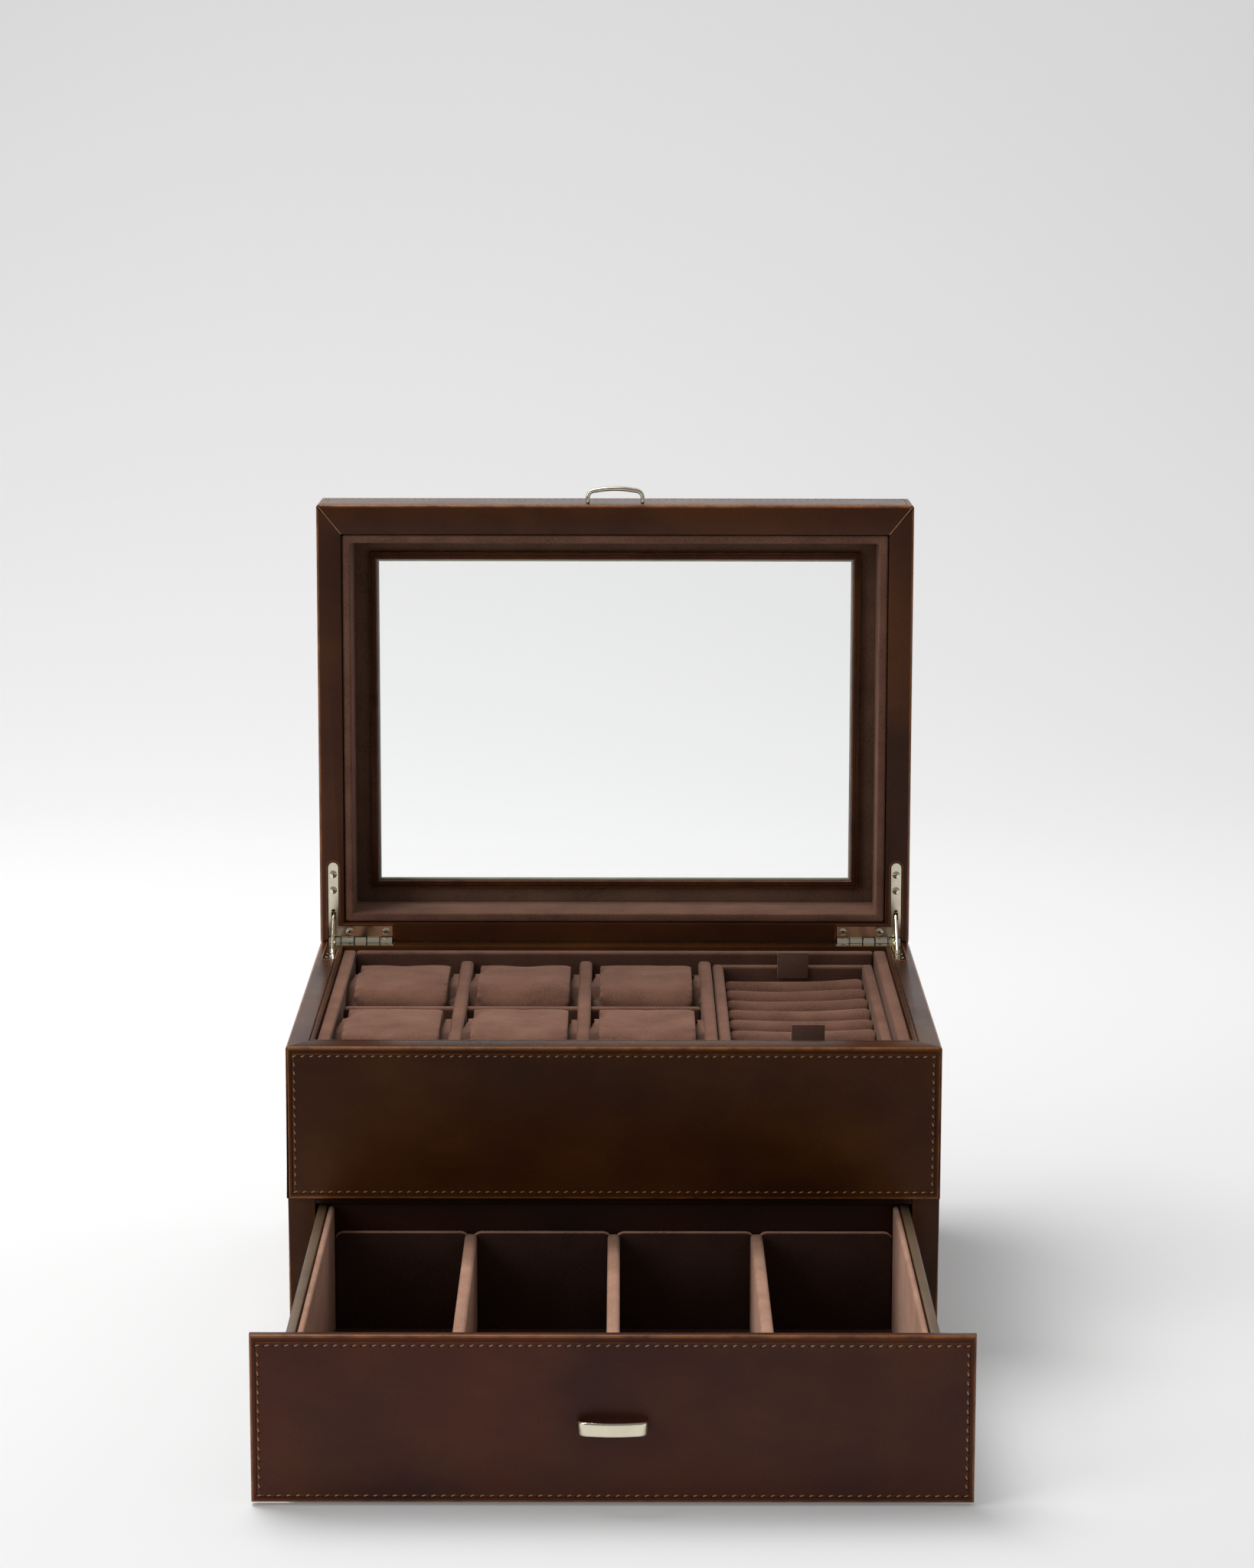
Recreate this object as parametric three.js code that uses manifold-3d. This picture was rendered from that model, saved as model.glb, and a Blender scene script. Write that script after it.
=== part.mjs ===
// A leather jewellery case: a watch and ring tray under a glazed, hinged lid, with a drawer below.
// Millimetres, +Z up. The origin is the middle of the case's underside, on the table.
// The case stands with its lid open on its stop and its drawer pulled out.
import * as THREE from "three";
import { mergeVertices } from "three/addons/utils/BufferGeometryUtils.js";
import Module from "manifold-3d";

const wasm = await Module();
wasm.setup();

// Overall sizes
const CASE_WIDTH = 290;
const CASE_DEPTH = 218;
const CASE_HEIGHT = 142; // the plane where the lid meets the case
const LID_HEIGHT = 38;
const GAP = 0.3; // between pieces that touch
const MITRE_GAP = 0.4; // taken off the front and back boards at each corner
const PAST = 1; // how far a cut runs past the face it opens

// Case boards
const WALL = 12;
const FRONT_LIP = 2.4; // the front boards are this much thicker than the others
const FELT = 1.2;
const FELT_INSET = 2;
const FELT_CORNER = 3;
const BOTTOM_BOARD = 4;
const SEAM_HEIGHT = 72.4; // bottom edge of the upper front
const SHELF = 3.1;

// Watch and ring tray; each drop is measured down from the case's top
const TRAY_PAD = 15.6;
const LINER = 6;
const LINER_DROP = 2;
const WATCH_BAY = 51.7;
const DIVIDER = 6.2;
const DIVIDER_DROP = 5.8;
const CROSS_DIVIDER = 5;
const CROSS_DIVIDER_DROP = 8;
const CUSHION_DROP = 2;
const CUSHION_END_ROOM = 7.5;
const CUSHION_SIDE_ROOM = 0.8;
const CUSHION_ROUNDING = 3; // exponent of the oval
const RING_TRAY_DROP = 7.3;
const RING_TRAY_ROOM = 0.8;
const RING_TRAY_WALL = 5.2;
const RING_TRAY_FLOOR = 3;
const RING_ROLLS = 8;
const ROLL_DROP = 11.5;
const ROLL_SLIT_DEPTH = 12;
const ROLL_ROUNDING = 2.2; // exponent of the roll's top
const TAB_WIDTH = 15;
const TAB_THICKNESS = 1.2;
const BACK_TAB_RISE = 7;
const FRONT_TAB_RISE = 11;
const TAB_HOLD = 6; // how far a tab reaches down inside the rim

// Lid
const LID_OPEN = THREE.MathUtils.degToRad(91);
const LID_PANEL = 4;
const LID_LINER = 4;
const LID_LINER_SETBACK = 1;
const WINDOW_BORDER = 15.4;
const WINDOW_CORNER = 2;
const BEZEL_WIDTH = 3.6;
const BEZEL_HEIGHT = 3.3;
const GLASS = 2.2;
const GLASS_BITE = 3; // how far the rebate lets the glass under the panel

// Drawer; each drop is measured down from the top of its sides
const DRAWER_HELD = 7.1; // how much of the drawer stays in the bay when it is out
const DRAWER_FRONT = 4.8;
const DRAWER_FRONT_ROOM = 1; // over the drawer's front
const DRAWER_TOP_ROOM = 1; // over the drawer's sides
const DRAWER_SIDE = 4;
const DRAWER_SIDE_ROOM = 1.5;
const DRAWER_END_ROOM = 1.5;
const DRAWER_RUN = 0.5; // under the drawer
const DRAWER_BOTTOM = 3;
const DRAWER_LINING = 2.7;
const DRAWER_LINING_FLOOR = 1.7;
const SIDE_LINING_DROP = 0.7;
const FRONT_LINING_DROP = 4;
const BACK_LINING_DROP = 12;
const DRAWER_DIVIDERS = 3;
const DRAWER_DIVIDER = 5.4;
const DRAWER_DIVIDER_DROP = 12.5;

// Pulls
const PULL_WIDTH = 28.6;
const PULL_REACH = 8.4;
const PULL_STRIP = 2;
const PULL_BAND = 5;
const PULL_CURVE = 3.4; // exponent of the arch
const POST_RADIUS = 1;
const POST_LENGTH = 3;
const POST_BITE = 0.4; // how far a post starts inside the pull's foot
const LID_PULL_RISE = 8.5; // above the lid's lower edge
const DRAWER_PULL_HEIGHT = 34.6;

// Hinges: an L-shaped leaf on each side of the barrel, and a stay rod
const BARREL_RADIUS = 2.4;
const BARREL_INSET = 0.1; // from the case's back to the barrel
const PIN_RADIUS = 0.95;
const KNUCKLES = [5.6, 7.3, 5.6, 7.3, 5.6];
const HINGE_INSET = 4.2; // from the case's side to the outer edge of the leaf
const LEAF = 1.6;
const LEAF_WIDTH = 7.8; // from the axis to the edge of the arm along the back
const SIDE_ARM_WIDTH = 4.9;
const SIDE_ARM_LENGTH = 39.5;
const SCREW_HEAD_RADIUS = 2;
const SCREW_RADIUS = 1.1;
const SCREW_RIM = 0.2; // depth of the countersink's straight rim
const SIDE_SCREWS = [13.8, 5.9]; // from the side arm's tip
const BACK_SCREW_OUTER = 10.4; // from the leaf's outer edge
const BACK_SCREW_INNER = 3; // from the end of the arm along the back
const BACK_SCREW_INSET = 5.1; // from the axis
const STAY_RADIUS = 0.75;
const STAY_REACH = 14.5; // from the hinge axis to the stay's pivot
const STAY_PIVOT_DEPTH = 2.6; // from the mating plane to the stay's pivot
const STAY_SPARE = 2; // how much stay is still in the case when the lid is open
const STAY_TIP_ROOM = 1.2; // under the stay's tip when the lid is shut
const STAY_SWING_ROOM = 1; // in front of the stay's tip as it swings
const STAY_HEAD_LENGTH = 3.6;
const STAY_HEAD_RADIUS = 0.6;
const STAY_SLOT_WIDTH = 2.2;
const STAY_SLOT_BEHIND = 3.9; // from the stay's pivot towards the axis
const STAY_SLOT_AHEAD = 1.7;
const SLOT_CORNER_EASE = 0.05; // keeps a short flat between the slot's round corners
const BEVEL_ROOM = THREE.MathUtils.degToRad(2); // on each bevel behind the axis

// Places worked out from the sizes
const HALF_WIDTH = CASE_WIDTH / 2;
const HALF_DEPTH = CASE_DEPTH / 2;
const FLOOR = FELT + GAP;
const CASE_TOP = CASE_HEIGHT - GAP / 2;
const LID_BOTTOM = CASE_HEIGHT + GAP / 2;
const LID_TOP = CASE_HEIGHT + LID_HEIGHT;
const INNER_X = HALF_WIDTH - WALL;
const INNER_FRONT = -HALF_DEPTH + WALL + FRONT_LIP;
const INNER_BACK = HALF_DEPTH - WALL;
const BAY_FRONT = -HALF_DEPTH + DRAWER_FRONT + GAP;
const BAY_TOP = SEAM_HEIGHT - GAP - SHELF;
const TRAY_X = INNER_X - GAP - LINER;
const TRAY_FRONT = INNER_FRONT + GAP + LINER;
const TRAY_BACK = INNER_BACK - GAP - LINER;
const TRAY_MIDDLE = (TRAY_FRONT + TRAY_BACK) / 2;
const PAD_TOP = SEAM_HEIGHT + TRAY_PAD;
const CROSS_DIVIDER_TOP = CASE_HEIGHT - CROSS_DIVIDER_DROP;
const RING_BAY_LEFT = -TRAY_X + 3 * (WATCH_BAY + DIVIDER);
const RING_TRAY_TOP = CASE_HEIGHT - RING_TRAY_DROP;
const DRAWER_X = INNER_X - DRAWER_SIDE_ROOM;
const DRAWER_BACK = INNER_BACK - GAP - DRAWER_END_ROOM;
const DRAWER_FLOOR = FLOOR + BOTTOM_BOARD + DRAWER_RUN;
const DRAWER_BOX_BOTTOM = DRAWER_FLOOR + DRAWER_BOTTOM + GAP;
const DRAWER_SIDE_TOP = BAY_TOP - DRAWER_TOP_ROOM;
const DRAWER_OUT = DRAWER_BACK - BAY_FRONT - DRAWER_HELD;
const HINGE_Y = HALF_DEPTH - BARREL_RADIUS - BARREL_INSET;
const BARREL_LENGTH = KNUCKLES.reduce((sum, width) => sum + width, 0);
const STAY_SLOT = [STAY_REACH - STAY_SLOT_BEHIND, STAY_REACH + STAY_SLOT_AHEAD];

// Finishes
const finish = (color, roughness, metalness) =>
  new THREE.MeshStandardMaterial({ color, roughness, metalness });
const FINISH = {
  leather: () => finish(0x482a1a, 0.42, 0),
  suede: () => finish(0x6b4a40, 0.95, 0),
  ribbon: () => finish(0x33201a, 0.8, 0),
  edge: () => finish(0x6b5338, 0.6, 0),
  felt: () => finish(0x2b1d18, 1, 0),
  nickel: () => finish(0xc9c0a8, 0.25, 1),
  glass: () => finish(0xdfe8e6, 0.05, 0),
};

// Makes a closed solid of a geometry.
function solid(geometry) {
  const bare = geometry.index ? geometry.toNonIndexed() : geometry.clone();
  bare.deleteAttribute("normal");
  bare.deleteAttribute("uv");
  const merged = mergeVertices(bare, 1e-4);
  return new wasm.Manifold(
    new wasm.Mesh({
      numProp: 3,
      vertProperties: merged.attributes.position.array,
      triVerts: new Uint32Array(merged.index.array),
    }),
  );
}

// Makes a geometry of a solid.
function geometryOf(body) {
  const mesh = body.getMesh();
  const geometry = new THREE.BufferGeometry();
  geometry.setAttribute("position", new THREE.BufferAttribute(mesh.vertProperties, 3));
  geometry.setIndex(new THREE.BufferAttribute(mesh.triVerts, 1));
  geometry.computeVertexNormals();
  return geometry;
}

// A block between two values along each axis.
function block([x0, x1], [y0, y1], [z0, z1]) {
  const geometry = new THREE.BoxGeometry(x1 - x0, y1 - y0, z1 - z0);
  return geometry.translate((x0 + x1) / 2, (y0 + y1) / 2, (z0 + z1) / 2);
}

// An upright prism over an outline of [x, y] points.
function prism(outline, [z0, z1], holes = []) {
  const shape = new THREE.Shape(outline.map(([x, y]) => new THREE.Vector2(x, y)));
  shape.holes = holes.map((hole) => new THREE.Path(hole.map(([x, y]) => new THREE.Vector2(x, y))));
  return new THREE.ExtrudeGeometry(shape, { depth: z1 - z0, bevelEnabled: false }).translate(0, 0, z0);
}

// A prism along X over an outline of [y, z] points.
function barAlongX(outline, [x0, x1]) {
  return prism(outline, [x0, x1]).rotateY(Math.PI / 2).rotateX(Math.PI / 2);
}

// A prism along Y over an outline of [x, z] points.
function barAlongY(outline, [y0, y1]) {
  return prism(outline, [-y1, -y0]).rotateX(Math.PI / 2);
}

// A round bar along X, centred on a point of the Y-Z plane.
function rodAlongX(radius, [x0, x1], y, z, sides = 20) {
  const geometry = new THREE.CylinderGeometry(radius, radius, x1 - x0, sides);
  return geometry.rotateZ(Math.PI / 2).translate((x0 + x1) / 2, y, z);
}

// Puts a range on the left (-1) or right (1) side of the case.
function sided(side, near, far) {
  return side > 0 ? [near, far] : [-far, -near];
}

function rectangle([x0, x1], [y0, y1]) {
  return [
    [x0, y0],
    [x1, y0],
    [x1, y1],
    [x0, y1],
  ];
}

// A rectangle with rounded corners, as points.
function roundedRectangle([x0, x1], [y0, y1], radius, steps = 4) {
  const corners = [
    [x1 - radius, y0 + radius, -90],
    [x1 - radius, y1 - radius, 0],
    [x0 + radius, y1 - radius, 90],
    [x0 + radius, y0 + radius, 180],
  ];
  return corners.flatMap(([x, y, start]) =>
    Array.from({ length: steps + 1 }, (_, i) => {
      const angle = THREE.MathUtils.degToRad(start + (90 * i) / steps);
      return [x + radius * Math.cos(angle), y + radius * Math.sin(angle)];
    }),
  );
}

// Half of a squared-off oval standing on its base, from the right foot to the left foot.
function arch(halfWidth, height, exponent, steps) {
  return Array.from({ length: steps + 1 }, (_, i) => {
    const angle = (Math.PI * i) / steps;
    const x = Math.sign(Math.cos(angle)) * Math.abs(Math.cos(angle)) ** (2 / exponent);
    const y = i === 0 || i === steps ? 0 : Math.sin(angle) ** (2 / exponent);
    return [halfWidth * x, height * y];
  });
}

const root = new THREE.Group();
const lidPivot = new THREE.Group();
lidPivot.position.set(0, HINGE_Y, CASE_HEIGHT);
lidPivot.rotation.x = -LID_OPEN;
root.add(lidPivot);
const lid = new THREE.Group(); // lid pieces are placed as on the closed case
lid.position.set(0, -HINGE_Y, -CASE_HEIGHT);
lidPivot.add(lid);
const drawer = new THREE.Group(); // drawer pieces are placed as in the closed case
drawer.position.set(0, -DRAWER_OUT, 0);
root.add(drawer);

function add(parent, name, geometry, material) {
  const mesh = new THREE.Mesh(geometry, material);
  mesh.name = name;
  parent.add(mesh);
}

// ---- Hinge cuts and leaves ----

// The leaf's L-shaped outline seen from above, on one side, grown all round by room.
function leafOutline(side, room) {
  const outer = HALF_WIDTH - HINGE_INSET + room;
  const armInner = HALF_WIDTH - HINGE_INSET - SIDE_ARM_WIDTH - room;
  const backInner = HALF_WIDTH - HINGE_INSET - BARREL_LENGTH - room;
  const backEdge = HINGE_Y - LEAF_WIDTH - room;
  const radius = SIDE_ARM_WIDTH / 2 + room;
  const tip = HINGE_Y - SIDE_ARM_LENGTH - room + radius;
  const middle = (outer + armInner) / 2;
  const end = Array.from({ length: 7 }, (_, i) => {
    const angle = (Math.PI * i) / 6;
    return [middle - radius * Math.cos(angle), tip - radius * Math.sin(angle)];
  });
  const points = [
    [outer, HINGE_Y],
    [backInner, HINGE_Y],
    [backInner, backEdge],
    [armInner, backEdge],
    ...end,
  ];
  return points.map(([x, y]) => [side * x, y]);
}

// What the boards lose to a hinge, below the mating plane: the leaf's pocket, the barrel's
// notch and the stay's pocket. The lid's cut is the same, turned over, with a shallower pocket.
function hingeCut(side, stayDepth, stayRange) {
  const outer = HALF_WIDTH - HINGE_INSET;
  const leafPocket = prism(leafOutline(side, GAP), [CASE_TOP - LEAF - GAP, CASE_HEIGHT + PAST]);
  const barrelRange = sided(side, outer - BARREL_LENGTH - GAP, outer + GAP);
  const notch = block(
    barrelRange,
    [HINGE_Y - BARREL_RADIUS - GAP, HALF_DEPTH + PAST],
    [CASE_HEIGHT - BARREL_RADIUS - GAP, CASE_HEIGHT + PAST],
  );
  const middle = outer - SIDE_ARM_WIDTH / 2;
  const halfHead = STAY_HEAD_LENGTH / 2 + GAP;
  const stayPocket = block(
    sided(side, middle - halfHead, middle + halfHead),
    [HINGE_Y - stayRange[1], HINGE_Y - stayRange[0]],
    [CASE_HEIGHT - stayDepth, CASE_HEIGHT],
  );
  return solid(leafPocket).add(solid(notch)).add(solid(stayPocket));
}

// Turns a solid over the mating plane.
function turnedOver(body) {
  return body.mirror([0, 0, 1]).translate([0, 0, 2 * CASE_HEIGHT]);
}

// How far the stay reaches, from its pivot in the lid to its tip in the case.
function stayLength() {
  const radius = Math.hypot(STAY_REACH, STAY_PIVOT_DEPTH);
  const spread = LID_OPEN + 2 * Math.atan2(STAY_PIVOT_DEPTH, STAY_REACH);
  return 2 * radius * Math.sin(spread / 2) + STAY_SPARE;
}

// The pocket in the case that takes the stay: its depth, and how far forward the tip swings.
function caseStayPocket() {
  const radius = Math.hypot(STAY_REACH, STAY_PIVOT_DEPTH);
  const swing = stayLength() ** 2 / (8 * radius);
  return {
    depth: stayLength() - STAY_PIVOT_DEPTH + STAY_TIP_ROOM,
    range: [STAY_SLOT[0] - GAP, STAY_REACH + swing + STAY_RADIUS + STAY_SWING_ROOM],
  };
}

function caseHingeCut(side) {
  const pocket = caseStayPocket();
  return hingeCut(side, pocket.depth, pocket.range);
}

function lidHingeCut(side) {
  const depth = STAY_PIVOT_DEPTH + STAY_RADIUS + 2 * GAP;
  return turnedOver(hingeCut(side, depth, [STAY_SLOT[0] - GAP, STAY_SLOT[1] + GAP]));
}

// The knuckles' ranges along X, outermost first, each with its share of the gap taken off.
function knuckleRanges(side) {
  let start = HALF_WIDTH - HINGE_INSET;
  return KNUCKLES.map((width) => {
    const range = sided(side, start - width + GAP / 2, start - GAP / 2);
    start -= width;
    return range;
  });
}

// One leaf, below the mating plane, with the knuckles whose place in the barrel is in own.
function hingeLeaf(side, own) {
  const ranges = knuckleRanges(side);
  let leaf = solid(prism(leafOutline(side, 0), [CASE_TOP - LEAF, CASE_TOP]));
  ranges.forEach(([x0, x1], place) => {
    const isOwn = own.includes(place);
    const radius = isOwn ? BARREL_RADIUS : BARREL_RADIUS + GAP;
    const range = isOwn ? [x0, x1] : [x0 - GAP, x1 + GAP];
    const knuckle = solid(rodAlongX(radius, range, HINGE_Y, CASE_HEIGHT));
    leaf = isOwn ? leaf.add(knuckle) : leaf.subtract(knuckle);
  });
  const bore = [Math.min(...ranges.flat()) - PAST, Math.max(...ranges.flat()) + PAST];
  leaf = leaf.subtract(solid(rodAlongX(PIN_RADIUS + GAP, bore, HINGE_Y, CASE_HEIGHT)));
  return leaf.subtract(leafHoles(side));
}

// The countersunk screw holes and the stay's slot of one leaf.
function leafHoles(side) {
  const outer = HALF_WIDTH - HINGE_INSET;
  const middle = outer - SIDE_ARM_WIDTH / 2;
  const slotHalf = STAY_SLOT_WIDTH / 2;
  const along = [HINGE_Y - STAY_SLOT[1], HINGE_Y - STAY_SLOT[0]];
  const slotOutline = roundedRectangle(
    sided(side, middle - slotHalf, middle + slotHalf),
    along,
    slotHalf - SLOT_CORNER_EASE,
  );
  let holes = solid(prism(slotOutline, [CASE_TOP - LEAF - PAST, CASE_TOP + PAST]));
  const screws = [
    ...SIDE_SCREWS.map((fromTip) => [side * middle, HINGE_Y - SIDE_ARM_LENGTH + fromTip]),
    [side * (outer - BACK_SCREW_OUTER), HINGE_Y - BACK_SCREW_INSET],
    [side * (outer - BARREL_LENGTH + BACK_SCREW_INNER), HINGE_Y - BACK_SCREW_INSET],
  ];
  screws.forEach(([x, y]) => {
    const sink = new THREE.CylinderGeometry(SCREW_HEAD_RADIUS, SCREW_RADIUS, LEAF, 16);
    const shank = new THREE.CylinderGeometry(SCREW_RADIUS, SCREW_RADIUS, 2 * (LEAF + PAST), 16);
    sink.rotateX(Math.PI / 2).translate(x, y, CASE_TOP - LEAF / 2 + SCREW_RIM);
    shank.rotateX(Math.PI / 2).translate(x, y, CASE_TOP - LEAF / 2);
    holes = holes.add(solid(sink)).add(solid(shank));
  });
  return holes;
}

// The stay rod: a straight rod with a cross head that the lid's leaf keeps in its pocket.
function stayRod(side) {
  const x = side * (HALF_WIDTH - HINGE_INSET - SIDE_ARM_WIDTH / 2);
  const length = stayLength();
  const rod = new THREE.CylinderGeometry(STAY_RADIUS, STAY_RADIUS, length, 12);
  rod.rotateX(Math.PI / 2).translate(x, 0, -length / 2);
  const half = STAY_HEAD_LENGTH / 2;
  const head = rodAlongX(STAY_HEAD_RADIUS, [x - half, x + half], 0, 0, 12);
  return geometryOf(solid(rod).add(solid(head)));
}

// Where the stay's pivot is when the lid is open, and how the rod leans there.
function placeStay(mesh) {
  const turned = new THREE.Vector3(0, -STAY_REACH, STAY_PIVOT_DEPTH);
  turned.applyAxisAngle(new THREE.Vector3(1, 0, 0), -LID_OPEN);
  mesh.position.set(0, HINGE_Y + turned.y, CASE_HEIGHT + turned.z);
  mesh.rotation.x = -LID_OPEN / 2;
}

function addHinge(side, label) {
  const ranges = knuckleRanges(side).flat();
  const pinRange = [Math.min(...ranges), Math.max(...ranges)];
  add(root, `hinge_case_leaf_${label}`, geometryOf(hingeLeaf(side, [0, 2, 4])), FINISH.nickel());
  const pin = rodAlongX(PIN_RADIUS, pinRange, HINGE_Y, CASE_HEIGHT, 16);
  add(root, `hinge_pin_${label}`, pin, FINISH.nickel());
  const lidLeaf = turnedOver(hingeLeaf(side, [1, 3]));
  add(lid, `hinge_lid_leaf_${label}`, geometryOf(lidLeaf), FINISH.nickel());
  const stay = new THREE.Mesh(stayRod(side), FINISH.nickel());
  stay.name = `stay_rod_${label}`;
  placeStay(stay);
  root.add(stay);
}

// ---- Case ----

// A side board, mitred at both ends above the seam. Below it the board stops behind the drawer's front.
function caseSideWall(side) {
  const outer = side * HALF_WIDTH;
  const inner = side * INNER_X;
  const upper = [
    [outer, -HALF_DEPTH],
    [outer, HALF_DEPTH],
    [inner, INNER_BACK],
    [inner, INNER_FRONT],
  ];
  const lower = [
    [outer, BAY_FRONT],
    [outer, HALF_DEPTH],
    [inner, INNER_BACK],
    [inner, BAY_FRONT],
  ];
  const upperPart = solid(prism(upper, [SEAM_HEIGHT, CASE_TOP]));
  const board = upperPart.add(solid(prism(lower, [FLOOR, SEAM_HEIGHT])));
  return board.subtract(backBevel()).subtract(caseHingeCut(side));
}

// The bevel cut behind the hinge axis, so the lid can swing past upright.
function backBevel() {
  const front = HINGE_Y - GAP;
  const back = HALF_DEPTH + PAST;
  const fall = (back - front) * Math.tan(LID_OPEN / 2 + BEVEL_ROOM);
  const outline = [
    [front, CASE_TOP],
    [back, CASE_TOP - fall],
    [back, CASE_TOP + PAST],
    [front, CASE_TOP + PAST],
  ];
  return solid(barAlongX(outline, [-HALF_WIDTH - PAST, HALF_WIDTH + PAST]));
}

// A board across the back or front, mitred at both ends.
function crossWall(outerY, innerY, [z0, z1]) {
  const outerX = HALF_WIDTH - MITRE_GAP;
  const innerX = INNER_X - MITRE_GAP;
  const outline = [
    [-outerX, outerY],
    [outerX, outerY],
    [innerX, innerY],
    [-innerX, innerY],
  ];
  return solid(prism(outline, [z0, z1]));
}

function addCaseBoards() {
  const inside = [-INNER_X + GAP, INNER_X - GAP];
  const bay = [BAY_FRONT, INNER_BACK - GAP];
  const felt = roundedRectangle(
    [-HALF_WIDTH + FELT_INSET, HALF_WIDTH - FELT_INSET],
    [BAY_FRONT + FELT_INSET, HALF_DEPTH - FELT_INSET],
    FELT_CORNER,
  );
  const back = crossWall(HALF_DEPTH, INNER_BACK, [FLOOR, CASE_TOP]).subtract(backBevel());
  const cutBack = back.subtract(caseHingeCut(-1)).subtract(caseHingeCut(1));
  const front = crossWall(-HALF_DEPTH, INNER_FRONT, [SEAM_HEIGHT, CASE_TOP]);
  const bottom = block(inside, bay, [FLOOR, FLOOR + BOTTOM_BOARD]);
  add(root, "base_felt", prism(felt, [0, FELT]), FINISH.felt());
  add(root, "bottom_board", bottom, FINISH.leather());
  add(root, "case_wall_left", geometryOf(caseSideWall(-1)), FINISH.leather());
  add(root, "case_wall_right", geometryOf(caseSideWall(1)), FINISH.leather());
  add(root, "case_wall_back", geometryOf(cutBack), FINISH.leather());
  add(root, "case_wall_front", geometryOf(front), FINISH.leather());
  add(root, "drawer_bay_shelf", block(inside, bay, [BAY_TOP, BAY_TOP + SHELF]), FINISH.leather());
}

// ---- Watch and ring tray ----

function addTrayLiners() {
  const outerX = INNER_X - GAP;
  const front = INNER_FRONT + GAP;
  const back = INNER_BACK - GAP;
  const height = [PAD_TOP + GAP, CASE_HEIGHT - LINER_DROP];
  const across = [-TRAY_X + GAP, TRAY_X - GAP];
  const pad = block([-outerX, outerX], [front, back], [SEAM_HEIGHT, PAD_TOP]);
  add(root, "tray_floor_pad", pad, FINISH.suede());
  add(root, "tray_liner_left", block([-outerX, -TRAY_X], [front, back], height), FINISH.suede());
  add(root, "tray_liner_right", block([TRAY_X, outerX], [front, back], height), FINISH.suede());
  add(root, "tray_liner_front", block(across, [front, TRAY_FRONT], height), FINISH.suede());
  add(root, "tray_liner_back", block(across, [TRAY_BACK, back], height), FINISH.suede());
}

// The left edges of the three dividers that run front to back.
function dividerLefts() {
  return [1, 2, 3].map((n) => -TRAY_X + n * WATCH_BAY + (n - 1) * DIVIDER);
}

// The height where the halved dividers pass each other.
function halvingHeight() {
  return (PAD_TOP + CROSS_DIVIDER_TOP) / 2;
}

// A divider that runs front to back, slotted from below where the cross divider passes.
function watchDivider(left, isSlotted) {
  const bottom = PAD_TOP + GAP;
  const top = CASE_HEIGHT - DIVIDER_DROP;
  const slotHalf = CROSS_DIVIDER / 2 + GAP;
  const slot = [
    [TRAY_MIDDLE + slotHalf, bottom],
    [TRAY_MIDDLE + slotHalf, halvingHeight() + GAP],
    [TRAY_MIDDLE - slotHalf, halvingHeight() + GAP],
    [TRAY_MIDDLE - slotHalf, bottom],
  ];
  const outline = [
    [TRAY_FRONT + GAP, bottom],
    [TRAY_FRONT + GAP, top],
    [TRAY_BACK - GAP, top],
    [TRAY_BACK - GAP, bottom],
    ...(isSlotted ? slot : []),
  ];
  return barAlongX(outline, [left, left + DIVIDER]);
}

// The divider across the three watch bays, slotted from above for the first two long dividers.
function crossDivider() {
  const bottom = PAD_TOP + GAP;
  const [first, second, third] = dividerLefts();
  const slot = (left) => [
    [left + DIVIDER + GAP, CROSS_DIVIDER_TOP],
    [left + DIVIDER + GAP, halvingHeight()],
    [left - GAP, halvingHeight()],
    [left - GAP, CROSS_DIVIDER_TOP],
  ];
  const outline = [
    [-TRAY_X + GAP, bottom],
    [third - GAP, bottom],
    [third - GAP, CROSS_DIVIDER_TOP],
    ...slot(second),
    ...slot(first),
    [-TRAY_X + GAP, CROSS_DIVIDER_TOP],
  ];
  return barAlongY(outline, [TRAY_MIDDLE - CROSS_DIVIDER / 2, TRAY_MIDDLE + CROSS_DIVIDER / 2]);
}

function addDividers() {
  const labels = ["left", "middle", "right"];
  dividerLefts().forEach((left, n) => {
    add(root, `watch_divider_${labels[n]}`, watchDivider(left, n < 2), FINISH.suede());
  });
  add(root, "cross_divider", crossDivider(), FINISH.suede());
}

// A watch cushion: a squared oval drawn across the bay.
function cushion(left, [front, back]) {
  const halfHeight = (CASE_HEIGHT - CUSHION_DROP - PAD_TOP - GAP) / 2;
  const halfLength = (back - front) / 2 - CUSHION_END_ROOM;
  const middleY = (front + back) / 2;
  const middleZ = PAD_TOP + GAP + halfHeight;
  const top = arch(halfLength, halfHeight, CUSHION_ROUNDING, 14).slice(0, -1);
  const outline = [...top, ...top.map(([y, z]) => [-y, -z])];
  const placed = outline.map(([y, z]) => [middleY + y, middleZ + z]);
  return barAlongX(placed, [left + CUSHION_SIDE_ROOM, left + WATCH_BAY - CUSHION_SIDE_ROOM]);
}

function addCushions() {
  const rows = {
    back: [TRAY_MIDDLE + CROSS_DIVIDER / 2, TRAY_BACK],
    front: [TRAY_FRONT, TRAY_MIDDLE - CROSS_DIVIDER / 2],
  };
  for (const [row, bay] of Object.entries(rows)) {
    ["left", "middle", "right"].forEach((label, n) => {
      const left = -TRAY_X + n * (WATCH_BAY + DIVIDER);
      add(root, `watch_cushion_${row}_${label}`, cushion(left, bay), FINISH.suede());
    });
  }
}

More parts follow.
